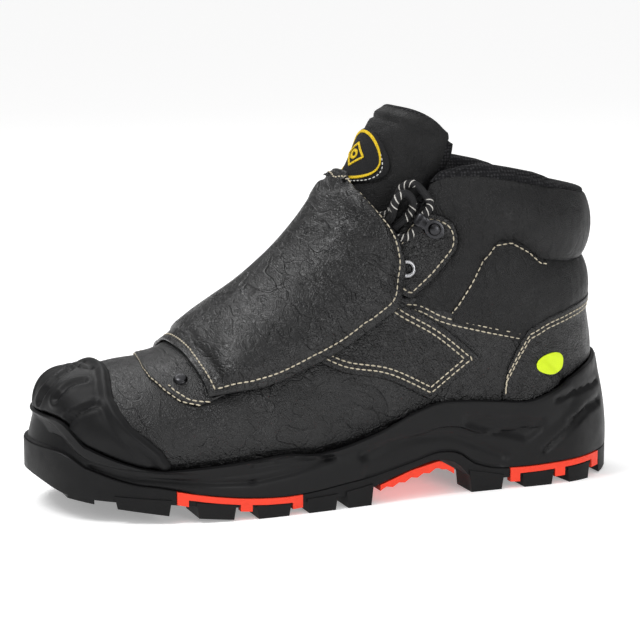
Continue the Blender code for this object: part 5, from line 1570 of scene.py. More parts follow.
def make_tongue():
    rows, depth = tongue_rows(0.2, 36)
    width = len(rows[0])
    points = [p for row in rows for p in row]
    faces = grid_faces(len(rows), width)
    normals = vertex_normals(points, faces)
    if normals[width + width // 2].x > 0:
        faces = [list(reversed(face)) for face in faces]
        normals = [-n for n in normals]
    front, top, side = spans(rows)
    outer, thick = [], []
    for i, (p, n, d) in enumerate(zip(points, normals, depth)):
        r, c = divmod(i, width)
        edge = min(side[r][c], top[r][c])
        seam = math.exp(-((edge - 0.0075) / 0.0012) ** 2) * smooth_step(p.z, 0.12, 0.15)
        roll = (1 - smooth_step(edge, 0.0, 0.006)) * 0.0010
        wing = abs(p.y - TONGUE_CENTRE * HALF_BALL) / (0.5 * HALF_BALL)
        ear = 0.0085 * smooth_step(r / (len(rows) - 1), 0.62, 1.0) * wing ** 2.2
        risen = p + Vector((0.25, 0, 0.97)) * ear
        outer.append(risen - n * (0.0013 * seam + roll))
        thick.append(d)
    inside = [p - n * d for p, n, d in zip(outer, normals, thick)]
    made, walls = sheet(inside, faces, thick, rim_steps=8)
    for i, p in enumerate(outer):
        made[i] = p
    total = len(faces)
    kinds = [0] * total + [1] * (len(walls) - total)
    made = piece("padded_tongue", made, walls, ["tongue_cover", "lining"], ["tongue"], sharp=70, kinds=kinds)
    BUILT["tongue"] = tree_of(made)


def label_point(tree, along, across_share, scale=1.0):
    heights = [row[1] for row in TONGUE]
    position = float(np.interp(LABEL_HEIGHT_SHARE, heights, range(len(TONGUE))))
    centre, up, back, *_ = tongue_frame(position)
    start = centre - back * 0.02 + up * (along * LABEL_LENGTH / 2 * scale * 1.08 - 0.0012)
    start.y += across_share * LABEL_WIDTH / 2 * scale * 1.08 - 0.0022
    return hit(tree, start, back)[0]


def label_ring(tree, scale, count=96):
    return [label_point(tree, math.sin(2 * math.pi * j / count), math.cos(2 * math.pi * j / count), scale)
            for j in range(count)]


def raised_cord(name, ring, width, height, look, centre_out, lift=0.0):
    """A narrow flat-bottomed bead along a closed line on a surface."""
    count = len(ring)
    points, faces = [], []
    profile = [(-0.5, 0.0), (-0.42, 0.75), (0.0, 1.0), (0.42, 0.75), (0.5, 0.0), (0.0, -0.25)]
    for i, p in enumerate(ring):
        along = (ring[(i + 1) % count] - ring[i - 1]).normalized()
        up = (centre_out - along * centre_out.dot(along)).normalized()
        beside = along.cross(up)
        for w, h in profile:
            points.append(p + beside * w * width + up * (h * height + lift))
    sides = len(profile)
    for i in range(count):
        j = (i + 1) % count
        for a in range(sides):
            b = (a + 1) % sides
            faces.append([i * sides + a, i * sides + b, j * sides + b, j * sides + a])
    return piece(name, points, faces, [look])


def make_label(tree):
    """The oval badge: black cloth, a yellow border and a plain raised mark."""
    points, faces = [], []
    rings, around = 8, 72
    for k in range(rings + 1):
        for j in range(around):
            angle = 2 * math.pi * j / around
            points.append(label_point(tree, math.sin(angle), math.cos(angle), k / rings))
    for k in range(rings):
        for j in range(around):
            n = (j + 1) % around
            faces.append([k * around + j, (k + 1) * around + j, (k + 1) * around + n, k * around + n])
    if vertex_normals(*welded(points, faces))[0].x > 0:
        faces = [list(reversed(face)) for face in faces]
    made = piece("badge", *sheet(points, faces, 0.0013, 0.0002, 3), ["label_cloth"], ["tongue_label"])
    cloth = tree_of(made)
    BUILT["badge"] = cloth
    row = float(np.interp(LABEL_HEIGHT_SHARE, [r[1] for r in TONGUE], range(len(TONGUE))))
    _, up, back, *_ = tongue_frame(row)
    raised_cord("badge_border", label_ring(cloth, 0.91), 0.0016, 0.0005, "label_yellow", -back)
    mark = []
    for j in range(64):
        angle = 2 * math.pi * j / 64
        reach_out = 0.44 / max(abs(math.cos(angle)) + abs(math.sin(angle)), 0.6)
        mark.append(label_point(cloth, math.sin(angle) * reach_out, math.cos(angle) * reach_out))
    raised_cord("badge_mark", mark, 0.0013, 0.0005, "label_yellow", -back)
    inner = [label_point(cloth, math.sin(2 * math.pi * j / 48) * 0.14, math.cos(2 * math.pi * j / 48) * 0.14)
             for j in range(48)]
    raised_cord("badge_dot", inner, 0.0016, 0.0005, "label_yellow", -back)


def make_heel_mark():
    """A plain lime shape on the outer side of the counter."""
    ring = []
    for j in range(72):
        angle = 2 * math.pi * j / 72
        x, z = math.cos(angle), math.sin(angle)
        rise = 0.0052 * math.copysign(abs(z) ** 0.8, z) * (1 + 0.25 * x)
        ring.append(Vector((0.1050 + 0.0082 * x, 0.0613 + rise)))
    made = sewn_patch(BUILT["counter"], ring, LATERAL, 0.00002, 0.0004, 0.0012)
    made = piece("heel_mark", *made, ["heel_lime"])


def make_strip(tree):
    """The reflective strip over the back seam, narrower at its top."""
    axis_x = 0.62 * HALF_LENGTH
    rows = []
    for k in range(25):
        height = STRIP_HEIGHTS[0] + (STRIP_HEIGHTS[1] - STRIP_HEIGHTS[0]) * k / 24
        half = STRIP_WIDTHS[0] + (STRIP_WIDTHS[1] - STRIP_WIDTHS[0]) * k / 24
        row = []
        for j in range(-12, 13):
            row.append(hit(tree, (axis_x, half * j / 12, height * COLLAR_HEIGHT), (1, 0, 0))[0])
        rows.append(row)
    rows = facing_out(rows, Vector((axis_x, 0, 0.1)))
    piece("back_tape", *filled_patch(rows, 0.0014, 0.0012, rim_steps=3), ["tape"], ["reflective_strip"])


STATION_STEP = 0.0625
FOOTBED_DROP = LEATHER / 2 + GAP + 0.0004
SOLE_INSET = 0.0004
EDGE_BEVEL = 0.0008
JOINT_GAP = 0.0003
RAND_WIDTH = 0.0018
RAND_SLOPE = 0.0007
RIM_CLEARANCE = 0.0020
JOINT_SHARE = 0.82


def inner_joint(x):
    """Height of the joint inside the raised edge of the outsole."""
    tread, bed = sole_height("tread", x), base_height(x) - FOOTBED_DROP
    return min(sole_height("joint", x), tread + JOINT_SHARE * (bed - tread))


def outer_lean(x, share):
    """How far the midsole's outer wall leans in at a share of its height."""
    heel = smooth_step(x, 0.72 * HALF_LENGTH, 0.97 * HALF_LENGTH)
    toe = 1 - smooth_step(x, -0.97 * HALF_LENGTH, -0.80 * HALF_LENGTH)
    side = 0.0022 * (1 - heel) * (1 - toe)
    bulge = -0.0006 * math.sin(math.pi * min(share * 1.3, 1.0)) * (1 - toe)
    return side * share ** 2 + heel * (0.0062 * share ** 1.6) + toe * (0.0008 + 0.0032 * share) + bulge


def sole_loops(tree, outer_shares):
    """The midsole's level loops from the footbed over the rim and down to the outsole."""
    loops = [[] for _ in range(7 + len(outer_shares))]
    for station, side in stations(STATION_STEP):
        edge = sole_outline(station, side, SOLE_INSET)
        x = sole_outline(station, side).x
        middle = spine(x)
        away = (edge - middle).normalized()
        span = (edge - middle).length
        joint, rim = sole_height("joint", x), sole_height("rim", x)
        bed = base_height(x) - FOOTBED_DROP

        def inner(z):
            low = base_height(x) + 0.0008
            found = [reach(tree, station, side, max(z + dz, low)) for dz in (-0.004, 0, 0.004)]
            found = [f for f in found if f]
            return (max(found) if found else span - RIM_THICKNESS) + CUP_GAP

        heights = (bed, (bed + rim) / 2, rim - 0.0012)
        for k, z in enumerate(heights):
            spot = middle + away * inner(z)
            loops[k].append(Vector((spot.x, spot.y, z)))
        top = inner(rim - 0.0002)
        outside = lambda z, share: max(span - outer_lean(x, share),
                                       inner(min(z, rim - 0.0005)) + RIM_THICKNESS)
        crest = outside(rim, 1.0)
        for k, part in ((3, 0.30), (4, 0.85)):
            spot = middle + away * (top + (crest - top) * part)
            loops[k].append(Vector((spot.x, spot.y, rim - (0.0 if k == 3 else 0.0005))))
        for k, share in enumerate(outer_shares):
            z = joint + JOINT_GAP + (rim - joint - JOINT_GAP) * share
            walled = share > 0.5 and z > base_height(x)
            distance = outside(z, share) if walled else span - outer_lean(x, share)
            if share == 0.0:
                distance = span
            spot = middle + away * distance
            loops[5 + k].append(Vector((spot.x, spot.y, z)))
        for k, inset in ((-2, RAND_WIDTH + JOINT_GAP), (-1, RAND_WIDTH + RAND_SLOPE + JOINT_GAP)):
            spot = middle + away * max(span - inset, 0.001)
            height = (joint if k == -2 else inner_joint(x)) + JOINT_GAP
            loops[k].append(Vector((spot.x, spot.y, height)))
    return loops


def loops_body(loops):
    """A closed body over level loops, closed across at both ends."""
    points = [p for loop in loops for p in loop]
    count = len(loops[0])
    faces = grid_faces(len(loops), count, closed=True)
    faces += [list(reversed(f)) for f in across(list(range(count)))]
    faces += across([len(points) - count + i for i in range(count)])
    return points, faces


# Lugs along each side from toe to heel, as shares of HALF_LENGTH, with how deep
# each runs in from the side as a share of HALF_BALL.
SIDE_LUGS = ((-0.790, -0.625, 0.40), (-0.550, -0.425, 0.40), (-0.360, -0.242, 0.40), (-0.188, -0.080, 0.38),
             (-0.050, 0.048, 0.34), (0.400, 0.525, 0.34), (0.592, 0.708, 0.34), (0.762, 0.860, 0.30))
CENTRE_LUGS = ((-0.705, -0.620, 0.36), (-0.520, -0.430, 0.42), (-0.330, -0.240, 0.42),
               (-0.150, -0.080, 0.34), (0.510, 0.590, 0.26), (0.700, 0.780, 0.26))
TOE_LUG = (-0.915, -0.845)
HEEL_LUG = (0.918, 0.972)
LUG_ROOT = 0.35

# The coloured frames set into the sole's edge: start, end, middle leg, and how
# far the bar and the legs reach below the joint, as shares of COLLAR_HEIGHT.
FRAMES = {
    "window_forefoot": (-0.608, -0.203, -0.392, 0.040),
    "window_heel": (0.549, 0.905, 0.732, 0.046),
}
FRAME_LEG = 0.0058
FRAME_SIDE_LEG = 0.0052


def wall_prism(ring, side, out, depth, spacing=0.010):
    """A block whose outer face lies along the sole's outline: ring is its side view (x, z) in metres."""
    edge = []
    for a, b in zip(ring, ring[1:] + ring[:1]):
        pieces = max(1, math.ceil(abs(b[0] - a[0]) / spacing))
        edge += [Vector(a).lerp(Vector(b), k / pieces) for k in range(pieces)]
    count = len(edge)
    verts, _, faces, *_ = delaunay_2d_cdt(edge, [[i, (i + 1) % count] for i in range(count)], [], 1, 1e-7)
    points = []
    for inward in (-out, depth):
        for v in verts:
            rim = outline_at(v.x, side)
            spot = rim + (spine(rim.x) - rim).normalized() * inward
            points.append(Vector((spot.x, spot.y, v.y)))
    total = len(verts)
    walls = [list(f) for f in faces] + [[v + total for v in reversed(f)] for f in faces]
    for a, b in border_edges([list(f) for f in faces]):
        walls.append([a, a + total, b + total, b])
    return points, walls


def frame_ring(start, end, leg, reach_down, grow=0.0, open_top=False):
    """Side view of a frame: a bar along the joint with three legs down between the lugs."""
    start, end, leg = (v * HALF_LENGTH for v in (start, end, leg))
    half = FRAME_LEG / 2 + grow
    joint = lambda x: edge_height("joint", x)
    top = lambda x: joint(x) + (0.004 if open_top else -JOINT_GAP)
    bar = lambda x: joint(x) - FRAME_BAR - grow
    foot = lambda x: joint(x) - reach_down * COLLAR_HEIGHT - grow
    start, end = start - grow, end + grow
    left, right = start + FRAME_SIDE_LEG + 2 * grow, end - FRAME_SIDE_LEG - 2 * grow
    ring = [(start, foot(start)), (left, foot(left)), (left, bar(left))]
    span = [left + (leg - half - left) * k / 3 for k in (1, 2)]
    ring += [(x, bar(x)) for x in span]
    ring += [(leg - half, bar(leg - half)), (leg - half, foot(leg - half))]
    ring += [(leg + half, foot(leg + half)), (leg + half, bar(leg + half))]
    span = [leg + half + (right - leg - half) * k / 3 for k in (1, 2)]
    ring += [(x, bar(x)) for x in span]
    ring += [(right, bar(right)), (right, foot(right)), (end, foot(end)), (end, top(end))]
    back = [end + (start - end) * k / 8 for k in range(1, 8)]
    ring += [(x, top(x)) for x in back]
    return ring + [(start, top(start))]


def lug_ring(start, end):
    """Side view of a lug: flat on the ground, its ends leaning in."""
    lean = 0.0012
    floor = [(x, ground(x)) for x in (start + lean, end - lean)]
    return floor + [(end, lug_root(end)), (start, lug_root(start))]


def lug_root(x):
    """Height inside the outsole where a lug ends."""
    tread = sole_height("tread", x)
    return tread + LUG_ROOT * (inner_joint(x) - tread)


def bar_lug(start, end, half_width):
    """A lug across the middle of the tread."""
    points = []
    for x, lean in ((start, 0.0008), (end, -0.0008)):
        centre = spine(x).y
        for y in (centre - half_width, centre + half_width):
            points += [Vector((x + lean, y, ground(x + lean))), Vector((x, y, lug_root(x)))]
    faces = [[0, 2, 3, 1], [4, 5, 7, 6], [0, 1, 5, 4], [2, 6, 7, 3], [1, 3, 7, 5], [0, 4, 6, 2]]
    return points, faces


def end_lug(start, end):
    """A lug across the toe or the back of the heel, following the outline."""
    points, faces = [], []
    columns = 5
    for i in range(columns):
        x = start + (end - start) * i / (columns - 1)
        for side in (LATERAL, MEDIAL):
            y = outline_at(x, side).y - side * 2 * SOLE_INSET
            points += [Vector((x, y, ground(x))), Vector((x, y, lug_root(x)))]
    ring = [0, 2, 3, 1]
    for i in range(columns - 1):
        for a, b in zip(ring, ring[1:] + ring[:1]):
            faces.append([i * 4 + a, i * 4 + b, (i + 1) * 4 + b, (i + 1) * 4 + a])
    last = 4 * (columns - 1)
    faces += [list(reversed(ring)), [last + v for v in ring]]
    return points, faces


# The tied lace from the tongue's middle to the lateral hook and on from it, as
# shares of HALF_LENGTH, HALF_BALL and COLLAR_HEIGHT; the medial side mirrors it.
LACE_TO_HOOK = ((-0.002, -0.050, 0.834), (0.033, -0.206, 0.827), (0.079, -0.374, 0.812),
                (0.125, -0.497, 0.804), (0.165, -0.594, 0.797), (0.204, -0.655, 0.802))
LACE_FROM_HOOK = ((0.268, -0.665, 0.900), (0.255, -0.626, 0.925), (0.231, -0.585, 0.952),
                  (0.204, -0.538, 0.962), (0.185, -0.501, 0.938), (0.173, -0.479, 0.906),
                  (0.158, -0.456, 0.872), (0.128, -0.411, 0.856))
LACE_END = (0.080, -0.300, 0.872)
LOOP_ROUTE = ((0.135, -0.508, 0.838), (0.147, -0.566, 0.860), (0.148, -0.609, 0.886), (0.154, -0.632, 0.914),
              (0.178, -0.636, 0.933), (0.204, -0.636, 0.919), (0.212, -0.624, 0.890), (0.200, -0.598, 0.862),
              (0.177, -0.566, 0.840), (0.162, -0.534, 0.825))


def smooth_route(route, count):
    """Evenly spaced points along a smooth curve through a route."""
    fine = [Vector(read_row(route, (len(route) - 1) * i / 400)) for i in range(401)]
    lengths = [0.0]
    for a, b in zip(fine, fine[1:]):
        lengths.append(lengths[-1] + (b - a).length)
    wanted = np.linspace(0, lengths[-1], count)
    return [Vector([float(np.interp(w, lengths, [p[k] for p in fine])) for k in range(3)]) for w in wanted]


def scaled_route(route, trees, side=LATERAL):
    points = [Vector((x * HALF_LENGTH, -side * y * HALF_BALL, z * COLLAR_HEIGHT)) for x, y, z in route]
    return [push_out(p, trees) for p in points]


def hook_seat(tree, side):
    """Three points of the lace through a hook's mouth, from below up."""
    centre, normal, arm, up = hook_frame(tree, side)
    mouth = centre + arm * HOOK_ARM + normal * (HOOK_THICKNESS + HOOK_MOUTH / 2)
    return [mouth - up * HOOK_WIDTH * 0.7, mouth, mouth + up * HOOK_WIDTH * 0.7]


# The sole's looks

STEP_LINE = ((-0.1484, 0.0470), (-0.1431, 0.0445), (-0.1403, 0.0407), (-0.1355, 0.0333), (-0.1296, 0.0295),
             (-0.1183, 0.0272), (-0.0975, 0.0246), (-0.0700, 0.0235))
WEDGE = ((0.0575, 0.0392), (0.0707, 0.0376), (0.0874, 0.0357), (0.1007, 0.0338), (0.0989, 0.0283),
         (0.0917, 0.0243), (0.0774, 0.0285), (0.0583, 0.0350))
ARCH_TOP = ((0.0028, 0.0245), (0.0164, 0.0285), (0.0324, 0.0303), (0.0506, 0.0294), (0.0685, 0.0224),
            (0.0807, 0.0168))
WALL_GROOVES = (
    (((-0.1302, 0.0262), (-0.1111, 0.0216), (-0.0817, 0.0190), (-0.0560, 0.0180)), 0.0007, 0.0010),
    (((-0.0560, 0.0262), (-0.0319, 0.0278), (-0.0148, 0.0250)), 0.0009, 0.0012),
    (((-0.0560, 0.0180), (-0.0350, 0.0205), (-0.0148, 0.0250)), 0.0007, 0.0010),
    (ARCH_TOP, 0.0010, 0.0013),
    (WEDGE + WEDGE[:1], 0.0007, 0.0009),
    (((0.1023, 0.0178), (0.1145, 0.0268), (0.1301, 0.0365), (0.1400, 0.0380)), 0.0010, 0.0012),
    (((0.1081, 0.0428), (0.1165, 0.0452), (0.1248, 0.0464), (0.1400, 0.0470)), 0.0008, 0.0010),
    (((0.1165, 0.0311), (0.1299, 0.0351), (0.1400, 0.0362)), 0.0007, 0.0010),
)


def wall_relief(x, z):
    """How far the midsole's outer wall stands out at a place in side view."""
    p = Vector((x, z))
    out = 0.0
    if x < -0.070:
        line = float(np.interp(x, *zip(*STEP_LINE)))
        fade = 1 - smooth_step(x, -0.095, -0.072)
        out -= 0.0012 * (1 - smooth_step(z, line - 0.0010, line + 0.0008)) * fade
    for line, depth, wide in WALL_GROOVES:
        if line[0][0] - 0.006 < x < max(q[0] for q in line) + 0.006:
            away = min(segment_distance(p, Vector(a), Vector(b)) for a, b in zip(line, line[1:]))
            out -= 1.5 * depth * math.exp(-(away / (1.25 * wide)) ** 2)
    if inside_ring(p, [Vector(q) for q in WEDGE]):
        away = min(segment_distance(p, Vector(a), Vector(b)) for a, b in zip(WEDGE, WEDGE[1:] + WEDGE[:1]))
        out -= 0.0016 * smooth_step(away, 0.0, 0.0018)
    if ARCH_TOP[0][0] < x < ARCH_TOP[-1][0]:
        line = float(np.interp(x, *zip(*ARCH_TOP)))
        out -= 0.0009 * smooth_step(line - z, 0.0, 0.0025)
    return out


def outline_at(x, side):
    """Point on the sole's outline at x, from a table made once."""
    if ("outline", side) not in BUILT:
        positions = np.linspace(0, HEEL_TIP, 16 * HEEL_TIP + 1)
        BUILT[("outline", side)] = ([sole_outline(p, side).x for p in positions], positions)
    return sole_outline(float(np.interp(x, *BUILT[("outline", side)])), side)


def edge_height(name, x):
    """A HEIGHTS column along the sole's edge as its solids are built, straight between stations."""
    if ("edge", name) not in BUILT:
        xs = [sole_outline(k * 0.5, LATERAL).x for k in range(2 * HEEL_TIP + 1)]
        BUILT[("edge", name)] = (xs, [sole_height(name, v) for v in xs])
    return float(np.interp(x, *BUILT[("edge", name)]))


def make_midsole(tree):
    shares = [0.955, 0.91, 0.86] + [0.82 * (26 - k) / 26 for k in range(27)]
    loops = sole_loops(tree, shares)
    first = 5
    for k in range(first, first + len(shares)):
        for i, p in enumerate(loops[k]):
            middle = spine(p.x)
            away = (Vector((p.x, p.y)) - middle).normalized()
            out = wall_relief(p.x, p.z)
            if shares[k - first] == 0.0:
                out = max(out, -0.0003)
            loops[k][i] = Vector((p.x + away.x * out, p.y + away.y * out, p.z))
    piece("midsole_body", *loops_body(loops), ["sole_foam"], ["midsole"], sharp=35)


def joined(blocks):
    points, faces = [], []
    for spots, rings in blocks:
        base = len(points)
        points += list(spots)
        faces += [[v + base for v in ring] for ring in rings]
    return points, faces


def make_outsole():
    loops = [[] for _ in range(7)]
    for station, side in stations(0.125):
        x = sole_outline(station, side).x
        joint, tread = sole_height("joint", x), sole_height("tread", x)
        levels = (
            (inner_joint(x), RAND_WIDTH + RAND_SLOPE), (joint, RAND_WIDTH), (joint, 0.0005),
            (joint - 0.0005, 0.0), (tread + EDGE_BEVEL, 0.0),
            (tread + 0.25 * EDGE_BEVEL, 0.25 * EDGE_BEVEL), (tread, EDGE_BEVEL),
        )
        for loop, (z, inset) in zip(loops, levels):
            edge = sole_outline(station, side, SOLE_INSET + inset)
            loop.append(Vector((edge.x, edge.y, z)))
    sole = rough(*loops_body(loops))
    blocks = []
    for start, end, depth in SIDE_LUGS:
        ring = lug_ring(start * HALF_LENGTH, end * HALF_LENGTH)
        for side in (LATERAL, MEDIAL):
            blocks.append(wall_prism(ring, side, 0.0002, depth * HALF_BALL, 0.004))
    for start, end, width in CENTRE_LUGS:
        blocks.append(bar_lug(start * HALF_LENGTH, end * HALF_LENGTH, width * HALF_BALL))
    for start, end in (TOE_LUG, HEEL_LUG):
        blocks.append(end_lug(start * HALF_LENGTH, end * HALF_LENGTH))
    combine(sole, rough(*joined(blocks)), "UNION")
    cuts = []
    for row in FRAMES.values():
        for side in (LATERAL, MEDIAL):
            ring = frame_ring(*row, grow=0.0003, open_top=True)
            cuts.append(wall_prism(ring, side, 0.003, FRAME_DEPTH + 0.0003))
    combine(sole, rough(*joined(cuts)), "DIFFERENCE")
    points = [v.co.copy() for v in sole.data.vertices]
    faces = [list(p.vertices) for p in sole.data.polygons]
    bpy.data.objects.remove(sole)
    piece("tread", points, faces, ["tread_rubber"], ["outsole"], sharp=30)


# Metal fittings


def make_rivet(name, centre, normal, across_dir, radius, height, node):
    rings = 12
    profile = [(0.0, 0.0), (radius, 0.0)]
    for k in range(rings):
        angle = RIGHT_ANGLE * k / rings
        rim = 1.0 - 0.10 * math.exp(-((k - 2.5) / 1.2) ** 2)
        profile.append((radius * math.cos(angle) ** 0.8 * rim, height * (0.25 + 0.75 * math.sin(angle))))
    profile.append((0.0, height))
    points, faces = turned(profile, centre, normal, across_dir, 40)
    return piece(name, *welded(points, faces), ["gunmetal"], [node], sharp=60)


def make_eyelet(tree, side):
    lift = 0.0026
    centre, normal, forward, _ = on_side(tree, EYELET_AT, side, lift)
    profile = []
    for k in range(17):
        angle = 2 * math.pi * k / 16
        across, up = 0.0010 * math.cos(angle), 0.0007 * math.sin(angle)
        profile.append((EYELET_RADIUS - 0.0002 + across, 0.0003 + up))
    points, faces = turned(profile, centre, normal, forward, 48)
    name = f"ring_{side_name(side)}"
    piece(name, *welded(points, faces), ["eyelet"], [f"eyelet_{side_name(side)}"], sharp=80)


def make_hook(tree, side):
    """A speed hook: an oval foot under the rivet, an arm and a curl that holds the lace."""
    centre, normal, forward, cross = hook_frame(tree, side)
    half = HOOK_THICKNESS / 2
    curl = HOOK_MOUTH / 2 + half
    path = [(-0.0052 + 0.0104 * k / 12, half) for k in range(13)]
    path += [(0.0060, half), (HOOK_ARM - 0.0012, half)]
    for k in range(19):
        angle = -RIGHT_ANGLE + math.pi * 1.02 * k / 18
        path.append((HOOK_ARM + curl * math.cos(angle), half + curl + curl * math.sin(angle)))
    path.append((HOOK_ARM - 0.0014, half + 2 * curl))
    path.append((HOOK_ARM - 0.0030, half + 2 * curl + 0.0004))
    section = []
    for k in range(16):
        angle = 2 * math.pi * k / 16
        c, s = math.cos(angle), math.sin(angle)
        section.append((math.copysign(abs(c) ** 0.45, c), math.copysign(abs(s) ** 0.8, s)))
    points = []
    for i, (f, n) in enumerate(path):
        ahead, behind = path[min(i + 1, len(path) - 1)], path[max(i - 1, 0)]
        along = Vector((ahead[0] - behind[0], ahead[1] - behind[1])).normalized()
        up = Vector((-along.y, along.x)) * half
        wide = HOOK_WIDTH / 2
        if f < 0.0052 and i < 13:
            least = 0.0006 if f < 0 else HOOK_WIDTH / 2 * 0.8
            wide = max(0.0046 * math.sqrt(max(1 - (f / 0.0053) ** 2, 0.02)), least)
        elif i >= len(path) - 2:
            wide *= 0.85 if i == len(path) - 2 else 0.45
        for w, t in section:
            points.append(centre + forward * (f + up.x * t) + normal * (n + up.y * t) + cross * (w * wide))
    sides = len(section)
    faces = grid_faces(len(path), sides, closed=True)
    faces += [list(reversed(range(sides))), [len(points) - sides + k for k in range(sides)]]
    name = side_name(side)
    return piece(f"speed_hook_{name}", points, faces, ["gunmetal"], [f"lace_hook_{name}"], sharp=60)


# Laces


def tube(name, path, radius, looks, nodes, sides=16, flat_share=0.92):
    """A round lace along a path, with a UV map round it and along it in metres."""
    count = len(path)
    side_dir = (path[1] - path[0]).orthogonal().normalized()
    points, uvs, run = [], [], 0.0
    for i, p in enumerate(path):
        along = (path[min(i + 1, count - 1)] - path[max(i - 1, 0)]).normalized()
        side_dir = (side_dir - along * side_dir.dot(along)).normalized()
        other = along.cross(side_dir)
        if i:
            run += (p - path[i - 1]).length
        for k in range(sides):
            angle = 2 * math.pi * k / sides
            points.append(p + (side_dir * math.cos(angle) + other * math.sin(angle) * flat_share) * radius)
        uvs.append(run)
    faces = grid_faces(count, sides, closed=True)
    ends = [list(reversed(range(sides))), [len(points) - sides + k for k in range(sides)]]
    mesh = bpy.data.meshes.new(name)
    mesh.from_pydata([tuple(p) for p in points], [], faces + ends)
    layer = mesh.uv_layers.new(name="along")
    for index, face in enumerate(faces):
        loop = mesh.polygons[index].loop_start
        for k, v in enumerate(face):
            ring, spot = divmod(v, sides)
            nearest = index % sides
            share = spot / sides if not (nearest == sides - 1 and spot == 0) else 1.0
            layer.data[loop + k].uv = (share, uvs[ring])
    mesh.shade_smooth()
    work = bmesh.new()
    work.from_mesh(mesh)
    bmesh.ops.recalc_face_normals(work, faces=work.faces)
    work.to_mesh(mesh)
    work.free()
    made = bpy.data.objects.new(name, mesh)
    bpy.context.scene.collection.objects.link(made)
    return own(made, looks, nodes)


def lace_paths(tree, front):
    clear = LACE_DIAMETER / 2 + OVERLAY_GAP
    trees = [(tree, clear), (front, clear)]
    halves = []
    for side in (LATERAL, MEDIAL):
        there = scaled_route(LACE_TO_HOOK, trees, side) + hook_seat(tree, side)
        halves.append(there + scaled_route(LACE_FROM_HOOK + (LACE_END,), trees, side))
    tied = [tuple(p) for p in list(reversed(halves[0])) + halves[1]]
    loop = [tuple(p) for p in scaled_route(LOOP_ROUTE, trees)]
    return tied, loop


def make_laces(tree, front):
    tied, loop = lace_paths(tree, front)
    tube("tied_lace", smooth_route(smooth_route(tied, 34), 240), LACE_DIAMETER / 2, ["lace"], ["lace_tied"])
    path = smooth_route(smooth_route(loop, 16), 120)
    made = tube("free_lace", path, LACE_DIAMETER / 2, ["lace"], ["lace_loop"], flat_share=1.0)


# Stitching


def stitch_tree(name):
    """Geometry Nodes that lay a row of stitches along every line of a mesh."""
    group = bpy.data.node_groups.new(name, "GeometryNodeTree")
    face = group.interface
    face.new_socket("Geometry", in_out="INPUT", socket_type="NodeSocketGeometry")
    for label, value in (("Pitch", 0.0034), ("Length", 0.0026), ("Thickness", 0.0008)):
        face.new_socket(label, in_out="INPUT", socket_type="NodeSocketFloat").default_value = value
    face.new_socket("Thread", in_out="INPUT", socket_type="NodeSocketMaterial")
    face.new_socket("Geometry", in_out="OUTPUT", socket_type="NodeSocketGeometry")
    nodes, links = group.nodes, group.links
    start, end = nodes.new("NodeGroupInput"), nodes.new("NodeGroupOutput")
    curve = nodes.new("GeometryNodeMeshToCurve")
    spots = nodes.new("GeometryNodeCurveToPoints")
    spots.mode = "LENGTH"
    turn = nodes.new("FunctionNodeAlignRotationToVector")
    turn.axis = "Z"
    ball = nodes.new("GeometryNodeMeshUVSphere")
    ball.inputs["Segments"].default_value = 6
    ball.inputs["Rings"].default_value = 5
    ball.inputs["Radius"].default_value = 0.5
    size = nodes.new("ShaderNodeCombineXYZ")
    lay = nodes.new("GeometryNodeInstanceOnPoints")
    real = nodes.new("GeometryNodeRealizeInstances")
    smooth = nodes.new("GeometryNodeSetShadeSmooth")
    look = nodes.new("GeometryNodeSetMaterial")
    links.new(start.outputs["Geometry"], curve.inputs["Mesh"])
    links.new(curve.outputs["Curve"], spots.inputs["Curve"])
    links.new(start.outputs["Pitch"], spots.inputs["Length"])
    links.new(spots.outputs["Tangent"], turn.inputs["Vector"])
    links.new(start.outputs["Thickness"], size.inputs["X"])
    links.new(start.outputs["Thickness"], size.inputs["Y"])
    links.new(start.outputs["Length"], size.inputs["Z"])
    links.new(spots.outputs["Points"], lay.inputs["Points"])
    links.new(ball.outputs["Mesh"], lay.inputs["Instance"])
    links.new(turn.outputs["Rotation"], lay.inputs["Rotation"])
    links.new(size.outputs["Vector"], lay.inputs["Scale"])
    links.new(lay.outputs["Instances"], real.inputs["Geometry"])
    links.new(real.outputs["Geometry"], smooth.inputs["Geometry"])
    links.new(smooth.outputs["Geometry"], look.inputs["Geometry"])
    links.new(start.outputs["Thread"], look.inputs["Material"])
    links.new(look.outputs["Geometry"], end.inputs["Geometry"])
    return group


# A row of stitches breaks where its line jumps further than this
LONGEST_STEP = 0.006


def sew(name, lines, look="cream_thread", length=None, thickness=None):
    """Stitches along 3D lines, turned into a plain mesh."""
    sewing = bpy.context.scene.boot_sewing
    points, edges = [], []
    for line in lines:
        base = len(points)
        points += [tuple(p) for p in line]
        edges += [(base + i, base + i + 1) for i in range(len(line) - 1)
                  if (line[i + 1] - line[i]).length < LONGEST_STEP]
    mesh = bpy.data.meshes.new(name)
    mesh.from_pydata(points, edges, [])
    holder = bpy.data.objects.new(name, mesh)
    bpy.context.scene.collection.objects.link(holder)
    group = stitch_tree(f"{name}_rows")
    modifier = holder.modifiers.new("rows", "NODES")
    modifier.node_group = group
    long = length or sewing.length
    values = {"Pitch": long + sewing.gap, "Length": long * 1.08, "Thickness": thickness or sewing.thickness,
              "Thread": finish(look)}
    for item in group.interface.items_tree:
        if item.in_out == "INPUT" and item.name in values:
            modifier[item.identifier] = values[item.name]
    graph = bpy.context.evaluated_depsgraph_get()
    result = bpy.data.meshes.new_from_object(holder.evaluated_get(graph))
    holder.modifiers.clear()
    holder.data = result
    bpy.data.meshes.remove(mesh)
    result.materials.clear()
    result.materials.append(finish(look))
    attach(holder, "root")
    return holder


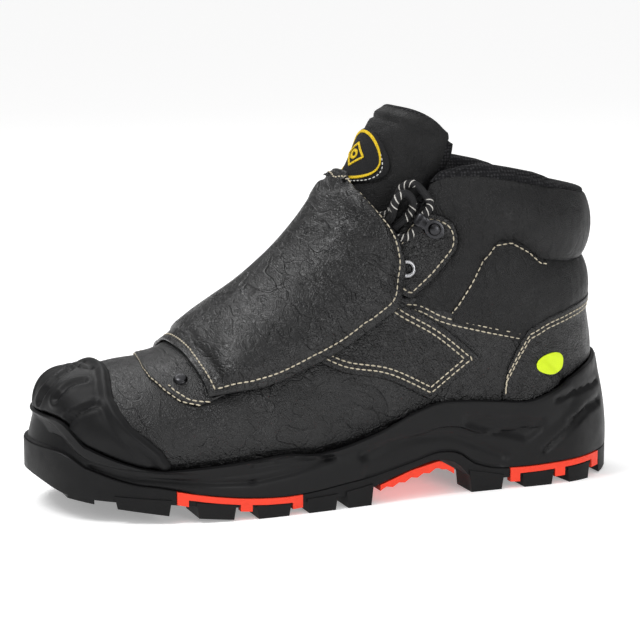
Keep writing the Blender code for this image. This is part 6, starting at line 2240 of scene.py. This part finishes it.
def even(line, step=0.0008):
    """A line resampled evenly."""
    lengths = [0.0]
    for a, b in zip(line, line[1:]):
        lengths.append(lengths[-1] + (b - a).length)
    count = max(2, round(lengths[-1] / step))
    wanted = np.linspace(0, lengths[-1], count)
    size = len(line[0])
    columns = [np.interp(wanted, lengths, [p[k] for p in line]) for k in range(size)]
    return [Vector([float(value) for value in row]) for row in zip(*columns)]


def on_flank(tree, line, side):
    """A side-view line laid on the outermost face of a piece."""
    made = []
    for p in even(line):
        point, _ = hit(tree, (p.x, side * 0.2, p.y), (0, -side, 0))
        if point is not None:
            made.append(point)
    return made


def grid_line(rows, measure, distance, low, high, by_row):
    """A line over a grid where a measure reaches a distance, one point in each row or column."""
    line = []
    for a in range(low, high):
        cells = range(len(rows[0])) if by_row else range(len(rows))
        last = None
        for b in cells:
            r, c = (a, b) if by_row else (b, a)
            if measure[r][c] >= distance:
                if last is None:
                    break
                pr, pc = last
                share = (distance - measure[pr][pc]) / max(measure[r][c] - measure[pr][pc], 1e-9)
                line.append(rows[pr][pc].lerp(rows[r][c], share))
                break
            last = (r, c)
    return line


def guard_stitches():
    rows, front, top, side = BUILT["guard_rows"]
    tree = BUILT["guard"]
    lines = []
    inset = 0.0036
    width = len(rows[0])
    low = [k for k in range(len(rows)) if front[k][width // 2] > inset and top[k][width // 2] > inset]
    first, last = low[0], low[-1]
    reversed_rows = [list(reversed(row)) for row in rows]
    reversed_side = [list(reversed(row)) for row in side]
    near = grid_line(rows, side, inset, first, last, True)
    far = grid_line(reversed_rows, reversed_side, inset, first, last, True)
    columns = [c for c in range(width) if side[first][c] > inset]
    bottom = grid_line(rows, front, inset, columns[0], columns[-1] + 1, False)
    columns = [c for c in range(width) if side[last][c] > inset]
    upper = []
    for c in range(columns[0], columns[-1] + 1):
        for r in range(len(rows) - 1, -1, -1):
            if top[r][c] >= inset:
                upper.append(rows[r][c])
                break
    for line in (near, far, bottom, upper):
        if len(line) > 3:
            lines.append([tree.find_nearest(p)[0] for p in even(line)])
    return lines


def make_stitches(skin_tree):
    rows = []
    gap = bpy.context.scene.boot_sewing.row_gap
    for side in (LATERAL, MEDIAL):
        tree = BUILT[("strap", side)]
        for k in range(2):
            ring = moved_in(BUILT["strap_ring"], 0.0026 + gap * k)
            line = on_flank(tree, list(ring) + [ring[0]], side)
            if len(line) > 5:
                rows.append(line)
        tree = BUILT[("stay", side)]
        ring = moved_in(BUILT["stay_ring"], 0.0022)
        rows.append(on_flank(tree, list(ring) + [ring[0]], side))
        tree = tree_of(bpy.data.objects[f"quarter_{side_name(side)}"])
        top = flowing(flat(QUARTER_EDGE), 0.002, False)
        for k in range(2):
            drop = 0.0026 + gap * k
            rows.append(on_flank(tree, [Vector((p.x - drop * 0.3, p.y - drop)) for p in top], side))
    for turn in (-1, 1):
        line = []
        for k in range(200):
            angle = turn * math.radians(150 - 90 * k / 199)
            p = shaft_point(skin_tree, angle, lambda q: line_height(PAD_SEAM, q.x) - 0.0022)
            if 0.345 * HALF_LENGTH < p.x < 0.66 * HALF_LENGTH:
                away = Vector((math.cos(angle), math.sin(angle), 0))
                spot, _ = hit(BUILT["pad"], p + away * 0.05, -away)
                if spot is not None and (spot - p).length < 0.012:
                    line.append(spot)
        rows.append(even(line) if len(line) > 3 else line)
    angles, low, high = BUILT["counter_rows"]
    tree, axis_x = BUILT["counter"], 0.62 * HALF_LENGTH
    dense = [angles[0] + (angles[-1] - angles[0]) * i / 400 for i in range(401)]
    for k in range(2):
        line = []
        for angle in dense:
            away = Vector((math.cos(angle), math.sin(angle), 0))
            p = Vector((axis_x + away.x * 0.04, away.y * 0.04, 0))
            for _ in range(3):
                z = high(p) - 0.0028 - gap * k
                p, _ = hit(skin_tree, (axis_x, 0, max(z, low(p) + 0.003)), away)
            spot, _ = hit(tree, (axis_x + away.x * 0.3, away.y * 0.3, p.z), -away)
            if spot is not None and (spot - p).length < 0.012 and high(p) - low(p) > 0.008:
                line.append(spot)
        rows.append(line)
    tab = BUILT["tab"]
    for drop in (0.12, 0.30):
        line = tab_rows(drop)[0]
        rows.append([tab.find_nearest(p + (p - INNER_AXIS).normalized() * 0.005)[0] for p in even(line)])
    rows += guard_stitches()
    sew("stitching", [r for r in rows if len(r) > 3])
    turns = [2 * math.pi * j / 160 for j in range(161)]
    badge = [label_point(BUILT["tongue"], math.sin(t), math.cos(t), 0.985) for t in turns]
    badge = [BUILT["badge"].find_nearest(p - Vector((0.003, 0, 0)))[0] for p in badge]
    sew("badge_stitches", [badge], "white_thread", 0.0014, 0.0006)


# The stage

VIEW_AZIMUTH = math.radians(-20.0)
VIEW_ELEVATION = math.radians(9.4)
VIEW_DISTANCE = 1.15
VIEW_TARGET = Vector((0.0, 0.0, 0.090))


def look_at(made, target):
    made.rotation_euler = (target - made.location).to_track_quat("-Z", "Y").to_euler()


def soft_light(name, place, target, size, power, colour=(1.0, 1.0, 1.0), height=None):
    lamp = bpy.data.lights.new(name, "AREA")
    lamp.energy = power * bpy.context.scene.boot_stage.strength
    lamp.color = colour
    lamp.shape = "RECTANGLE"
    lamp.size = size
    lamp.size_y = height or size
    made = bpy.data.objects.new(name, lamp)
    bpy.context.scene.collection.objects.link(made)
    made.location = place
    look_at(made, Vector(target))
    return made


# The floor's own light, which keeps it white far behind the boot
FLOOR_GLOW = 0.30
FLOOR_REACH = 40.0


def make_floor():
    mesh = bpy.data.meshes.new("floor")
    corners = [(-FLOOR_REACH, -FLOOR_REACH, 0), (FLOOR_REACH, -FLOOR_REACH, 0),
               (FLOOR_REACH, FLOOR_REACH, 0), (-FLOOR_REACH, FLOOR_REACH, 0)]
    mesh.from_pydata(corners, [], [(0, 1, 2, 3)])
    floor = bpy.data.objects.new("floor", mesh)
    bpy.context.scene.collection.objects.link(floor)
    paint = Finish("studio_floor", bpy.context.scene.boot_stage.floor, 0.9, specular=0.05)
    paint.shader.inputs["Emission Color"].default_value = (1.0, 1.0, 1.0, 1.0)
    paint.shader.inputs["Emission Strength"].default_value = FLOOR_GLOW
    mesh.materials.append(paint.made)


def make_world():
    world = bpy.data.worlds.new("studio")
    world.use_nodes = True
    nodes, links = world.node_tree.nodes, world.node_tree.links
    shell = nodes["Background"]
    around = nodes.new("ShaderNodeTexCoord")
    split = nodes.new("ShaderNodeSeparateXYZ")
    links.new(around.outputs["Generated"], split.inputs[0])
    def fade(value, low, high, strength):
        made = nodes.new("ShaderNodeMapRange")
        made.interpolation_type = "SMOOTHSTEP"
        for name, number in (("From Min", low), ("From Max", high), ("To Min", 0.0), ("To Max", strength)):
            made.inputs[name].default_value = number
        links.new(value, made.inputs["Value"])
        return made.outputs["Result"]

    def plus(first, second):
        made = nodes.new("ShaderNodeMath")
        made.operation = "ADD"
        for index, value in ((0, first), (1, second)):
            if isinstance(value, float):
                made.inputs[index].default_value = value
            else:
                links.new(value, made.inputs[index])
        return made.outputs[0]

    above = fade(split.outputs[2], 0.15, 0.90, 0.95)
    left = fade(split.outputs[0], 0.25, -0.95, 0.12)
    low = nodes.new("ShaderNodeMath")
    low.operation = "ABSOLUTE"
    links.new(split.outputs[2], low.inputs[0])
    behind = nodes.new("ShaderNodeMath")
    behind.operation = "MULTIPLY"
    links.new(fade(low.outputs[0], 0.10, 0.03, 0.95), behind.inputs[0])
    links.new(fade(split.outputs[1], 0.1, 0.6, 1.0), behind.inputs[1])
    links.new(plus(plus(above, left), plus(behind.outputs[0], 0.03)), shell.inputs["Color"])
    shell.inputs["Strength"].default_value = bpy.context.scene.boot_stage.surround
    bpy.context.scene.world = world
    bpy.context.scene.view_settings.view_transform = "Standard"


def make_camera():
    lens = bpy.data.cameras.new("view")
    lens.lens = 130.7
    lens.sensor_width = 36.0
    lens.shift_x = -6.5 / 640
    lens.shift_y = -12.8 / 640
    camera = bpy.data.objects.new("view", lens)
    bpy.context.scene.collection.objects.link(camera)
    flat_share = math.cos(VIEW_ELEVATION)
    back = Vector((math.sin(VIEW_AZIMUTH) * flat_share, -math.cos(VIEW_AZIMUTH) * flat_share,
                   math.sin(VIEW_ELEVATION)))
    camera.location = VIEW_TARGET + back * VIEW_DISTANCE
    look_at(camera, VIEW_TARGET)
    bpy.context.scene.camera = camera


# Settings


class BootSewing(bpy.types.PropertyGroup):
    """Sizes and colour of the decorative stitches."""

    length: FloatProperty(name="Stitch length", description="Length of one stitch", default=0.0024,
                          min=0.001, max=0.006, unit="LENGTH")
    gap: FloatProperty(name="Stitch gap", description="Space between two stitches of a row", default=0.0007,
                       min=0.0002, max=0.004, unit="LENGTH")
    thickness: FloatProperty(name="Thread thickness", description="Thickness of the thread", default=0.0008,
                             min=0.0002, max=0.002, unit="LENGTH")
    row_gap: FloatProperty(name="Row spacing", description="Distance between the rows of a double seam",
                           default=0.0024, min=0.001, max=0.006, unit="LENGTH")
    colour: FloatVectorProperty(name="Thread colour", description="Colour of the sewing thread",
                                subtype="COLOR", size=3, default=(0.56, 0.50, 0.38), min=0, max=1)


class BootLeather(bpy.types.PropertyGroup):
    """Colour and relief of the leather."""

    colour: FloatVectorProperty(name="Leather colour", description="Colour of the leather and padding",
                                subtype="COLOR", size=3, default=(0.0045, 0.0045, 0.0050), min=0, max=1)
    grain: FloatProperty(name="Grain", description="Depth of the grain against its usual depth", default=1.0,
                         min=0, max=3)
    wrinkle: FloatProperty(name="Wrinkles", default=1.0, min=0, max=3,
                           description="Depth of the soft wrinkles against their usual depth")


class BootSole(bpy.types.PropertyGroup):
    """Colours of the sole and its inserts."""

    rubber: FloatVectorProperty(name="Rubber colour", description="Colour of the moulded rubber",
                                subtype="COLOR", size=3, default=(0.0050, 0.0050, 0.0054), min=0, max=1)
    insert: FloatVectorProperty(name="Insert colour", description="Colour of the coral inserts",
                                subtype="COLOR", size=3, default=(0.86, 0.055, 0.025), min=0, max=1)


class BootStage(bpy.types.PropertyGroup):
    """Floor and light of the studio."""

    floor: FloatVectorProperty(name="Floor colour", description="Colour of the studio floor",
                               subtype="COLOR", size=3, default=(0.90, 0.90, 0.90), min=0, max=1)
    strength: FloatProperty(name="Light", description="Strength of the soft lights", default=1.0,
                            min=0, max=10)
    surround: FloatProperty(name="Surround", description="Strength of the white surround", default=1.0,
                            min=0, max=5)


GROUPS = (("boot_sewing", BootSewing), ("boot_leather", BootLeather), ("boot_sole", BootSole),
          ("boot_stage", BootStage))


# Operators


class BOOT_OT_stage(bpy.types.Operator):
    """Sets the pale floor, the soft lights and the camera."""

    bl_idname = "boot.stage"
    bl_label = "Stage"

    def execute(self, context):
        make_camera()
        make_floor()
        make_world()
        soft_light("key", (-0.80, -0.20, 1.20), (-0.02, 0.0, 0.09), 0.30, 9.0, height=0.5)
        soft_light("fill", (0.28, -1.3, 0.40), (0.02, 0.0, 0.08), 0.50, 5.5)
        soft_light("back", (0.0, 1.0, 1.2), (0.0, 0.0, 0.09), 1.2, 6.0, height=0.3)
        return {"FINISHED"}


class BOOT_OT_laces(bpy.types.Operator):
    """Makes the tied lace and its free loop."""

    bl_idname = "boot.laces"
    bl_label = "Laces"

    def execute(self, context):
        make_laces(outer_skin()[2], tongue_tree())
        return {"FINISHED"}


class BOOT_OT_upper(bpy.types.Operator):
    """Makes the hollow upper with its vamp and quarters."""

    bl_idname = "boot.upper"
    bl_label = "Upper"

    def execute(self, context):
        make_shell()
        make_vamp()
        make_quarters(outer_skin()[2])
        return {"FINISHED"}


class BOOT_OT_collar(bpy.types.Operator):
    """Makes the padded collar and the ankle pad."""

    bl_idname = "boot.collar"
    bl_label = "Padded collar"

    def execute(self, context):
        make_collar()
        return {"FINISHED"}


class BOOT_OT_panels(bpy.types.Operator):
    """Makes the heel counter, the side straps, the eyestays and the guard tab."""

    bl_idname = "boot.panels"
    bl_label = "Sewn-on panels"

    def execute(self, context):
        tree = outer_skin()[2]
        make_counter(tree)
        make_straps(tree)
        make_tab()
        return {"FINISHED"}


class BOOT_OT_guard(bpy.types.Operator):
    """Makes the instep guard."""

    bl_idname = "boot.guard"
    bl_label = "Instep guard"

    def execute(self, context):
        make_guard(outer_skin()[2])
        return {"FINISHED"}


class BOOT_OT_bumper(bpy.types.Operator):
    """Makes the moulded toe bumper."""

    bl_idname = "boot.bumper"
    bl_label = "Toe bumper"

    def execute(self, context):
        make_bumper()
        return {"FINISHED"}


class BOOT_OT_tongue(bpy.types.Operator):
    """Makes the padded tongue and its oval badge."""

    bl_idname = "boot.tongue"
    bl_label = "Tongue"

    def execute(self, context):
        make_tongue()
        make_label(BUILT["tongue"])
        return {"FINISHED"}


class BOOT_OT_sole(bpy.types.Operator):
    """Makes the midsole and the lugged outsole."""

    bl_idname = "boot.sole"
    bl_label = "Sole"

    def execute(self, context):
        make_midsole(outer_skin()[2])
        make_outsole()
        return {"FINISHED"}


class BOOT_OT_inserts(bpy.types.Operator):
    """Finishes the coral inserts and the footbed that come with the frame."""

    bl_idname = "boot.inserts"
    bl_label = "Inserts and footbed"

    def execute(self, context):
        for node in ("window_forefoot_lateral", "window_forefoot_medial", "window_heel_lateral",
                     "window_heel_medial", "arch_shank"):
            refinish(node, "coral")
        refinish("insole", "footbed")
        return {"FINISHED"}


def refinish(node, look):
    """Gives a carried-over solid a better material."""
    made = bpy.data.objects[node]
    if made.material_slots:
        for place in made.material_slots:
            place.material = finish(look)
    else:
        made.data.materials.append(finish(look))


class BOOT_OT_fittings(bpy.types.Operator):
    """Makes the hooks, eyelets and rivets."""

    bl_idname = "boot.fittings"
    bl_label = "Metal fittings"

    def execute(self, context):
        tree = outer_skin()[2]
        for side in (LATERAL, MEDIAL):
            name = side_name(side)
            make_eyelet(tree, side)
            make_hook(tree, side)
            centre, normal, forward, _ = on_side(tree, HOOK_AT, side, HOOK_LIFT + HOOK_THICKNESS)
            make_rivet(f"hook_head_{name}", centre, normal, forward, HOOK_WIDTH / 2, RIVET_HEIGHT,
                       f"hook_rivet_{name}")
            lift = OVERLAY_GAP + STRAP_THICKNESS - 0.0001
            centre, normal, forward, _ = on_side(tree, TAB_RIVET, side, lift)
            make_rivet(f"tab_head_{name}", centre, normal, forward, RIVET_RADIUS, RIVET_HEIGHT,
                       f"guard_rivet_{name}")
        return {"FINISHED"}


class BOOT_OT_trim(bpy.types.Operator):
    """Makes the reflective strip and the plain heel mark."""

    bl_idname = "boot.trim"
    bl_label = "Strip and heel mark"

    def execute(self, context):
        make_strip(outer_skin()[2])
        make_heel_mark()
        return {"FINISHED"}


class BOOT_OT_stitching(bpy.types.Operator):
    """Sews every decorative seam."""

    bl_idname = "boot.stitching"
    bl_label = "Stitching"

    def execute(self, context):
        make_stitches(outer_skin()[2])
        return {"FINISHED"}


OPERATORS = (BOOT_OT_stage, BOOT_OT_laces, BOOT_OT_upper, BOOT_OT_collar, BOOT_OT_panels, BOOT_OT_guard,
             BOOT_OT_bumper, BOOT_OT_tongue, BOOT_OT_sole, BOOT_OT_inserts, BOOT_OT_fittings, BOOT_OT_trim,
             BOOT_OT_stitching)


class BOOT_PT_panel(bpy.types.Panel):
    """Lists the boot's settings and steps."""

    bl_idname = "BOOT_PT_panel"
    bl_label = "Guard boot"
    bl_space_type = "VIEW_3D"
    bl_region_type = "UI"
    bl_category = "Boot"

    def draw(self, context):
        for name, group in GROUPS:
            box = self.layout.box()
            for setting in group.__annotations__:
                box.prop(getattr(context.scene, name), setting)
        for operator in OPERATORS:
            self.layout.operator(operator.bl_idname)


CLASSES = tuple(group for _, group in GROUPS) + OPERATORS + (BOOT_PT_panel,)


def register():
    for made in CLASSES:
        bpy.utils.register_class(made)
    for name, group in GROUPS:
        setattr(bpy.types.Scene, name, PointerProperty(type=group))


def unregister():
    for name, _ in GROUPS:
        delattr(bpy.types.Scene, name)
    for made in reversed(CLASSES):
        bpy.utils.unregister_class(made)


def main():
    register()
    bpy.ops.boot.stage()
    bpy.ops.boot.laces()
    bpy.ops.boot.upper()
    bpy.ops.boot.collar()
    bpy.ops.boot.panels()
    bpy.ops.boot.guard()
    bpy.ops.boot.bumper()
    bpy.ops.boot.tongue()
    bpy.ops.boot.sole()
    bpy.ops.boot.inserts()
    bpy.ops.boot.fittings()
    bpy.ops.boot.trim()
    bpy.ops.boot.stitching()


if __name__ == "__main__":
    main()
